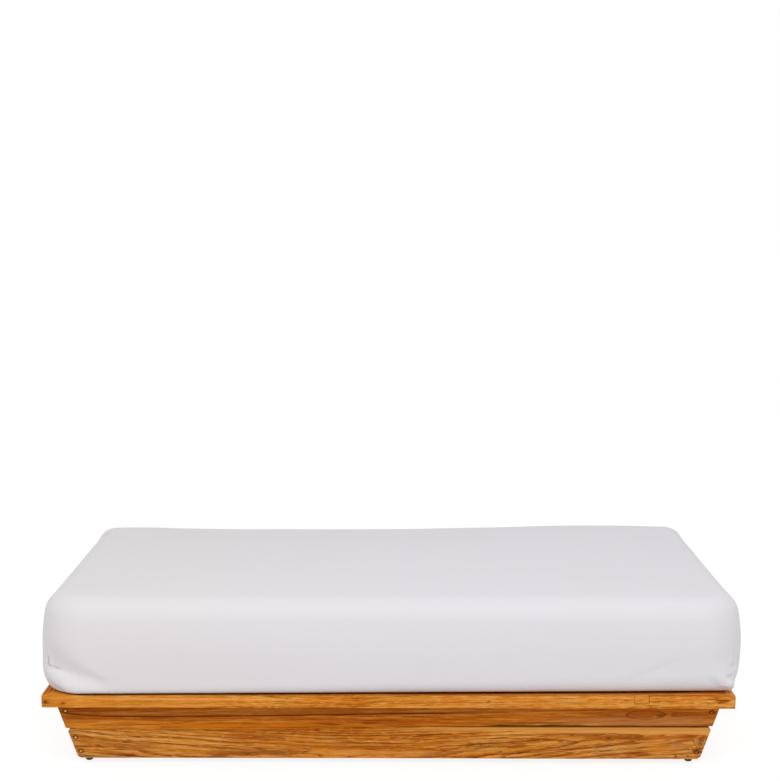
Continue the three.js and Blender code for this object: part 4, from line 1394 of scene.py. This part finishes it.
def side_profile(columns, base_rows, side_rows, top_rows):
    """Inset and height from the foot of the side, round the lower edge, up the side and round the
    top edge, as rows by columns. The side is upright at the belly. Above and below it leans in
    as a parabola, so its slope grows evenly, and each edge is an arc that goes on from that
    slope to the level. The rows lie closest where the folds are."""
    here, after, out, share = columns
    off_corner = np.minimum(10 * share * (1 - share), 1)
    corner_here, corner_after = (np.where(sign[:, 1] < 0, *TOP_CORNER_RADIUS) for sign in (here, after))
    at_corner = corner_here * (1 - share) + corner_after * share
    top_radius = at_corner * (1 - off_corner) + TOP_SIDE_RADIUS * off_corner
    left, right = soft_step(-out[:, 0], 0, 1), soft_step(out[:, 0], 0, 1)
    plan_x = here[:, 0] * (1 - share) + after[:, 0] * share
    at_left, at_right = BASE_RADII["long"]
    long_radius = at_left + (at_right - at_left) * (plan_x + 1) / 2
    base_radius = long_radius * (1 - left - right) + BASE_RADII["left"] * left + BASE_RADII["right"] * right
    base_lean = BASE_LEANS["left"] * left + BASE_LEANS["right"] * right
    base_lean = base_lean + BASE_LEANS["long"] * (1 - left - right)
    belly = BELLY + (LOW_BELLY - BELLY) * left

    top_tilt, base_tilt = np.arctan(TOP_LEAN), np.arctan(base_lean)
    top_from = MATTRESS_HEIGHT - top_radius * (1 - np.sin(top_tilt))
    base_to = base_radius * (1 - np.sin(base_tilt))
    turn = base_tilt + (np.pi / 2 - base_tilt) * np.linspace(1, 0, base_rows, endpoint=False)[:, None]
    base_inset = base_lean * (belly - base_to) / 2 + base_radius * (np.cos(base_tilt) - np.cos(turn))
    base_height = base_to - base_radius * (np.sin(turn) - np.sin(base_tilt))
    even = np.linspace(0, 1, side_rows, endpoint=False)[:, None]
    dense = 2 * np.pi * FOLD_SHARE
    graded = even - CROWDING * (np.sin(2 * np.pi * even - dense) + np.sin(dense)) / (2 * np.pi)
    side_height = base_to + (top_from - base_to) * graded
    under, over = np.maximum(belly - side_height, 0), np.maximum(side_height - BELLY, 0)
    side_inset = base_lean * under**2 / (2 * (belly - base_to))
    side_inset = side_inset + TOP_LEAN * over**2 / (2 * (top_from - BELLY))
    turn = top_tilt + (np.pi / 2 - top_tilt) * np.linspace(0, 1, top_rows)[:, None]
    top_inset = TOP_LEAN * (top_from - BELLY) / 2 + top_radius * (np.cos(top_tilt) - np.cos(turn))
    top_height = top_from + top_radius * (np.sin(turn) - np.sin(top_tilt))
    rise = np.concatenate([base_height, side_height, top_height])
    return np.concatenate([base_inset, side_inset, top_inset]), rise


def crown_rows(x, y, z, count):
    """The grid with rings added from its last row to the middle. They shrink in step and rise as
    1 minus the square of their share."""
    share = np.concatenate([np.linspace(1, 0, count + 1)[1:-1], [MIDDLE_SHARE]])[:, None]
    rings = (x[-1:] * share, y[-1:] * share, z[-1:] + CROWN * (1 - share**2))
    return [np.concatenate(pair) for pair in zip((x, y, z), rings)]


# %% [markdown]
# The form is then given its own character, as soft moves of the points: the right end is fuller
# than the left, the top dips slightly in the middle, and the cloth is pulled into folds at the
# lower corners. A fold is a groove along a curve on the front, steep below and gentle above.

# %% Folds of the cover
CREASES = (  # how deep, its x and height there, slope, widths above and below, and where it shows
    (0.0065, -0.935, 0.293, -0.12, 0.0026, 0.0024, (-0.955, -0.945, -0.915, -0.900)),
    (0.0060, -0.935, 0.2555, -0.52, 0.003, 0.004, (-0.955, -0.940, -0.892, -0.872)),
    (0.0020, 0.60, 0.246, 0.44, 0.009, 0.022, (0.62, 0.68, 0.74, 0.82)),
)
PUCKERS = (  # how far out, x, height, half the length and half the height
    (-0.0042, 0.885, 0.268, 0.022, 0.0055), (0.0030, 0.903, 0.2585, 0.020, 0.0050),
    (-0.0055, 0.908, 0.2490, 0.018, 0.0050), (0.0065, 0.936, 0.2570, 0.013, 0.0100),
    (-0.0065, 0.938, 0.2760, 0.011, 0.0060), (-0.0045, 0.948, 0.3020, 0.010, 0.0070),
)
PUCKER_SLANT = 0.2
GATHER_DEPTH = 0.0026


def groove(across, above_width, below_width):
    """A groove's depth from 0 to 1 for a distance above the line, or below it where negative."""
    return np.where(across > 0, hump((across, above_width)), hump((across, below_width)))


def front_folds(x, z):
    """How far the front stands out, or in where negative, from the folds that the photograph
    shows: a wide diagonal hollow at the left end with a roll of cloth under it, a sharp crease at
    the seam, and a faint diagonal crease and small puckers at the right end."""
    hollow_line = 0.2835 - 0.21 * (x + 0.86)
    above = np.clip(0.034 - 0.30 * (x + 0.86), 0.012, 0.050)
    below = 0.012 + 0.009 * soft_step(x, -0.91, -0.86)
    window = between(x, -0.955, -0.925, -0.79, -0.745)
    out = -np.minimum(0.45 * above, 0.0145) * groove(z - hollow_line, above, below) * window
    out += 0.0080 * hump((x + 0.880, 0.055), (z - hollow_line + 0.034, 0.018))
    for depth, place, level, slope, above, below, window in CREASES:
        out -= depth * groove(z - level - slope * (x - place), above, below) * between(x, *window)
    for move, place, level, half_length, half_height in PUCKERS:
        slant = level - PUCKER_SLANT * (x - place)
        out += move * hump((x - place, half_length), (z - slant, half_height))
    return out


def corner_gathers(from_corner, z, phase):
    """Small pleats that run out from each lower corner and fade with height."""
    near = 1 - soft_step(np.abs(from_corner), 0.05, 0.11)
    fade = 1 - soft_step(z, MATTRESS_LOW + 0.02, MATTRESS_LOW + 0.095)
    wave = np.sin(from_corner * 105 + phase) * 0.6 + np.sin(from_corner * 181 + z * 60 - phase) * 0.4
    return GATHER_DEPTH * wave * near * fade


def whole_form(x, y, z):
    """The uneven form of this mattress: moves of x and z that are far wider than a fold. The right
    end is longer at the front than at the back, and the top is fullest over the right."""
    move_x = 0.0112 * soft_step(x, 0.3, 0.93) * (-y / 0.45)
    lift = 0.0139 * hump((x - 0.668, 0.368), (y - 0.28, 0.30))
    lift = lift + 0.0064 * hump((x + 0.80, 0.14), (y - 0.25, 0.3))
    return move_x, lift * soft_step((z - MATTRESS_LOW) / MATTRESS_HEIGHT, 0.5, 0.95)


def grid_normals(points):
    """Outward directions on a grid that is closed round its columns: the cross product of the
    steps along a row and from row to row."""
    step_around = np.roll(points, -1, axis=1) - np.roll(points, 1, axis=1)
    normal = np.cross(step_around, np.gradient(points, axis=0))
    return normal / np.maximum(np.linalg.norm(normal, axis=-1, keepdims=True), 1e-12)


# %% Cover points
COVER_COLUMNS = around_columns(48, 90, 40)
HEM_ROWS = 8
COVER_ROWS = (9, 48, 16)  # round the lower edge, up the side, round the top edge
CROWN_ROWS = 16
CORNER_SEAM_SHIFT = 0.0225  # how far the front left seam lies from its corner's middle
PULLED_WIDTH, PULLED_DEPTH = 0.0045, 0.0045
FRONT_GATHERS = 0.45
GATHER_PHASE = 0.4


def along_corner(columns):
    """For each column, how far it lies round a corner from that corner's middle, in metres. Past
    the corner it stays at the arc's end."""
    here, _, out, _ = columns
    radius = np.where(here[:, 1] < 0, PLAN_RADIUS[0], PLAN_RADIUS[2])
    turn = np.arctan2(out[:, 1], out[:, 0]) - np.arctan2(here[:, 1], here[:, 0])
    return radius * ((turn + np.pi) % (2 * np.pi) - np.pi)


def cover_form():
    """The cover's outer surface without its folds, from the hem's inner edge to the middle of the
    crown."""
    inset, rise = side_profile(COVER_COLUMNS, *COVER_ROWS)
    spread = soft_step(rise, 0, BELLY)
    radius = [foot + (belly - foot) * spread for foot, belly in zip(FOOT_PLAN_RADIUS, PLAN_RADIUS)]
    x, y = plan_points(COVER_COLUMNS, inset, radius=radius)
    hem_x, hem_y = plan_points(COVER_COLUMNS, HEM_WIDTH, CAD_REACH, HEM_PLAN_RADIUS)
    share = np.linspace(0, 1, HEM_ROWS, endpoint=False)[:, None]
    x = np.concatenate([hem_x * (1 - share) + x[:1] * share, x])
    y = np.concatenate([hem_y * (1 - share) + y[:1] * share, y])
    z = MATTRESS_LOW + np.concatenate([np.zeros((HEM_ROWS, rise.shape[1])), rise])
    x, y, z = crown_rows(x, y, z, CROWN_ROWS)
    move_x, move_z = whole_form(x, y, z)
    return grid_of(x + move_x, y, z + move_z)


def fold_moves(points):
    """How far each point of the form stands out, or in where negative, from all of its folds."""
    x, y, z = points[..., 0], points[..., 1], points[..., 2]
    on_front = soft_step(-y, CAD_REACH[2] - 0.11, CAD_REACH[2] - 0.05)
    corner = along_corner(COVER_COLUMNS)
    out = front_folds(x, z) * on_front
    out = out + corner_gathers(corner, z, GATHER_PHASE) * np.where(on_front > 0.5, FRONT_GATHERS, 1.0)
    pulled = between(z, 0.288, 0.296, 0.310, 0.328) * (x < -0.8) * (y < 0)
    out = out - PULLED_DEPTH * hump((corner + CORNER_SEAM_SHIFT, PULLED_WIDTH)) * pulled
    out = out + 0.0009 * drift(x + 0.35 * z, 501, 0.5) + 0.0007 * drift(z * 2.2 + 0.3 * x, 502, 0.6)
    return out * soft_step(z, MATTRESS_LOW + 0.002, MATTRESS_LOW + 0.016)


def cover_points():
    """The form moved along its outward directions by its folds, and nowhere below the rim."""
    form = cover_form()
    points = form + grid_normals(form) * fold_moves(form)[..., None]
    points[..., 2] = np.maximum(points[..., 2], MATTRESS_LOW)
    return points


cover_grid = cover_points()
print("cover grid", cover_grid.shape[:2])

# %% [markdown]
# The cloth is plain, pale cotton. Close up it has a fine weave and faint slubs, it is a touch warmer
# where it has been handled, and each corner has a sewn seam.

# %% Cover cloth
COTTON = (0.800, 0.778, 0.815)
COTTON_WARM = (0.812, 0.782, 0.795)
COTTON_CLOUD, COTTON_SLUB = (0.74, 0.71, 0.72), (0.70, 0.67, 0.68)
SEAM_SHADE, STITCH_SHADE = (0.42, 0.39, 0.40), (0.55, 0.52, 0.53)
THREAD_PITCH = 0.0011
STITCHES_PER_METRE = 260.0
STITCH_OFFSET = 0.0042


def weave_height(cloth, place, pitch):
    """Threads over and under each other on three planes, mixed by which way the surface faces."""
    facing = cloth.node("TexCoord", {}, {}, out="Normal")
    waves = [(axis * (2 * np.pi / pitch)).sine() for axis in place.split()]
    share_x, share_y, share_z = [part * part for part in facing.split()]
    return waves[1] * waves[2] * share_x + waves[0] * waves[2] * share_y + waves[0] * waves[1] * share_z


def seam_lines(cloth, place):
    """Masks for the corner seams: a line where the mesh is at a corner's middle, and its
    stitches, which are short dashes along the height. Both fade upwards. Where the cloth is
    pulled into a crease the line is darker: there it is painted shade of the crease."""
    away = abs(cloth.mark("from_seam"))
    along, _, height = place.split()
    low_enough = 1 - height.step(MATTRESS_LOW + 0.10, MATTRESS_LOW + 0.19)
    # Painted shade: where the cover is pulled into a crease, the seam line is darkened further.
    pulled = height.between(0.288, 0.294, 0.312, 0.328) * (1 - along.step(-0.85, -0.80))
    line = (1 - away.step(0.0006, 0.0022)) * low_enough * (pulled * 0.75 + 0.25)
    dash = (height * STITCHES_PER_METRE).part().step(0.25, 0.4)
    return line, (1 - abs(away - STITCH_OFFSET).step(0.0003, 0.0010)) * dash * low_enough


def cotton(name):
    """Plain, pale cotton, warmer to the left, with soft clouds, slubs, seams and stitches."""
    cloth = Finish(name)
    place = cloth.place()
    weave = weave_height(cloth, place, THREAD_PITCH)
    cloud = cloth.noise(place, 3.2, 3.0)
    slub = cloth.noise(place, (14.0, 240.0), 3.0)
    line, stitches = seam_lines(cloth, place)
    colour = cloth.layers(
        cloth.mix(place.split()[0].step(-0.95, 0.1), COTTON_WARM, COTTON),
        (cloud.step(0.35, 0.75) * 0.10, COTTON_CLOUD),
        (slub.step(0.5, 0.8) * 0.10, COTTON_SLUB),
        (line * 0.75, SEAM_SHADE),
        (stitches * 0.12, STITCH_SHADE),
    )
    height = weave * 0.25 + slub * 0.5 + cloud * 0.5 - line * 3.0 - stitches * 0.5
    return cloth.done(
        Base_Color=colour,
        Roughness=0.82 + slub * 0.1,
        Specular_IOR_Level=0.25,
        Sheen_Weight=0.12,
        Sheen_Roughness=0.5,
        Normal=cloth.bump(height, 0.0006, 0.35),
    )


# %% Make the cover
CLOTH_THICKNESS = 0.0010


def round_piece(name, grid, shut=(), marks=None):
    """A piece from a grid that is closed round its columns. The rows named in shut shrink to a
    point each."""
    grid = grid.copy()
    for row in shut:
        grid[row] = grid[row].mean(axis=0)
    return close_up(mesh_from(name, grid, grid_faces(*grid.shape[:2]), marks))


from_seam = np.broadcast_to(along_corner(COVER_COLUMNS), cover_grid.shape[:2])
from_seam = from_seam + CORNER_SEAM_SHIFT * (cover_grid[..., 0] < 0) * (cover_grid[..., 1] < 0)
cover = round_piece("cover", cover_grid, (-1,), {"from_seam": from_seam})
add_modifier(cover, "cloth thickness", "SOLIDIFY", thickness=CLOTH_THICKNESS, offset=-1)
finish_piece(cover, "mattress", "cover_cloth", cotton("cover_cotton"), "fitted_cover")

# %% [markdown]
# Inside the cover is the mattress itself: the same form, a thickness of cloth smaller and closed
# underneath, in a quilted ticking with a fine stripe.

# %% Mattress core
CORE_INSET = 0.0022
CORE_LIFT = 0.0022
UNDER_ROWS = 24
TICKING_PITCH = 0.0016
TICKING_DARK, TICKING_LIGHT = (0.72, 0.66, 0.53), (0.82, 0.77, 0.65)
TICKING_STRIPE, QUILT_SHADE = (0.34, 0.38, 0.46), (0.50, 0.45, 0.36)
STRIPES_PER_METRE, QUILT_LINES_PER_METRE = 24.0, 9.0


def ticking(name):
    """Striped cotton ticking, quilted in diamonds."""
    cloth = Finish(name)
    place = cloth.place()
    x, y, _ = place.split()
    weave = weave_height(cloth, place, TICKING_PITCH)
    stripe = (y * STRIPES_PER_METRE).part().between(0.44, 0.47, 0.55, 0.58)
    quilt = [abs((line * QUILT_LINES_PER_METRE).part() - 0.5).step(0.0, 0.10) for line in (x + y, x - y)]
    # Painted shade: the quilting channels, which the bump sinks, are also darkened as shade in their hollows.
    channel = quilt[0].least(quilt[1])
    colour = cloth.mix(cloth.noise(place, 5.0, 3.0), TICKING_DARK, TICKING_LIGHT)
    return cloth.done(
        Base_Color=cloth.layers(colour, (stripe * 0.55, TICKING_STRIPE), ((1 - channel) * 0.3, QUILT_SHADE)),
        Roughness=0.9,
        Sheen_Weight=0.15,
        Normal=cloth.bump(channel * 3.0 + weave * 0.3, 0.0012, 0.6),
    )


def deepest_nearby(depth, reach):
    """For each place of a grid, the greatest depth within that many rows and columns."""
    for axis in (0, 1):
        depth = np.max([np.roll(depth, step, axis) for step in range(-reach, reach + 1)], axis=0)
    return depth


def core_points():
    """The cover's form from the foot of the sides up, without its folds, moved in by the cloth and
    by what the folds near it go in, with rows that close the underside."""
    form = cover_form()
    inset = CORE_INSET + deepest_nearby(np.maximum(-fold_moves(form), 0), 3)
    skin = form[HEM_ROWS::2, ::2]
    inner = skin - grid_normals(skin) * inset[HEM_ROWS::2, ::2, None]
    inner[..., 2] = np.maximum(inner[..., 2], MATTRESS_LOW + CORE_LIFT)
    share = np.linspace(0, 1, UNDER_ROWS, endpoint=False)
    share[0] = MIDDLE_SHARE
    foot_x, foot_y, foot_z = inner[0].T
    under = grid_of(foot_x * share[:, None], foot_y * share[:, None], foot_z)
    return np.concatenate([under, inner])


core = round_piece("core", core_points(), (0, -1))
finish_piece(core, "mattress", "foam", ticking("ticking"), "mattress_core")

# %% [markdown]
# A narrow elastic is sewn along the hem's inner edge. It gathers the cloth, so the band itself is
# ribbed.

# %% Elastic
ELASTIC_WIDTH = 0.006
ELASTIC_THICKNESS = 0.0009
ELASTIC_RIB = 0.0004
ELASTIC_DARK, ELASTIC_LIGHT = (0.66, 0.63, 0.57), (0.84, 0.82, 0.78)


def elastic_points():
    """A flat ring of four points carried round the hem's edge, with a fine rib along it."""
    columns = around_columns(24, 300, 130)
    rib = ELASTIC_RIB * (0.5 + 0.5 * np.cos(np.arange(len(columns[0])) * np.pi))
    rings = []
    for inset, lift in ((TOUCH, 0), (ELASTIC_WIDTH, 0), (ELASTIC_WIDTH, 1), (TOUCH, 1)):
        x, y = plan_points(columns, HEM_WIDTH + inset, CAD_REACH, HEM_PLAN_RADIUS)
        rings.append(grid_of(x, y, MATTRESS_LOW + lift * (ELASTIC_THICKNESS + rib)))
    return np.stack([*rings, rings[0]])


def elastic_band(name):
    """Knitted elastic, with a little fuzz."""
    band = Finish(name)
    fuzz = band.noise(band.place(), 700.0)
    colour = band.mix(fuzz, ELASTIC_DARK, ELASTIC_LIGHT)
    return band.done(Base_Color=colour, Roughness=0.85, Sheen_Weight=0.2, Normal=band.bump(fuzz, 0.0004, 0.5))


elastic = round_piece("elastic", elastic_points())
finish_piece(elastic, "mattress", "elastic", elastic_band("elastic_band"), "hem_elastic")

# %% Last lines, which every run needs
bpy.context.scene.view_settings.view_transform = "Standard"
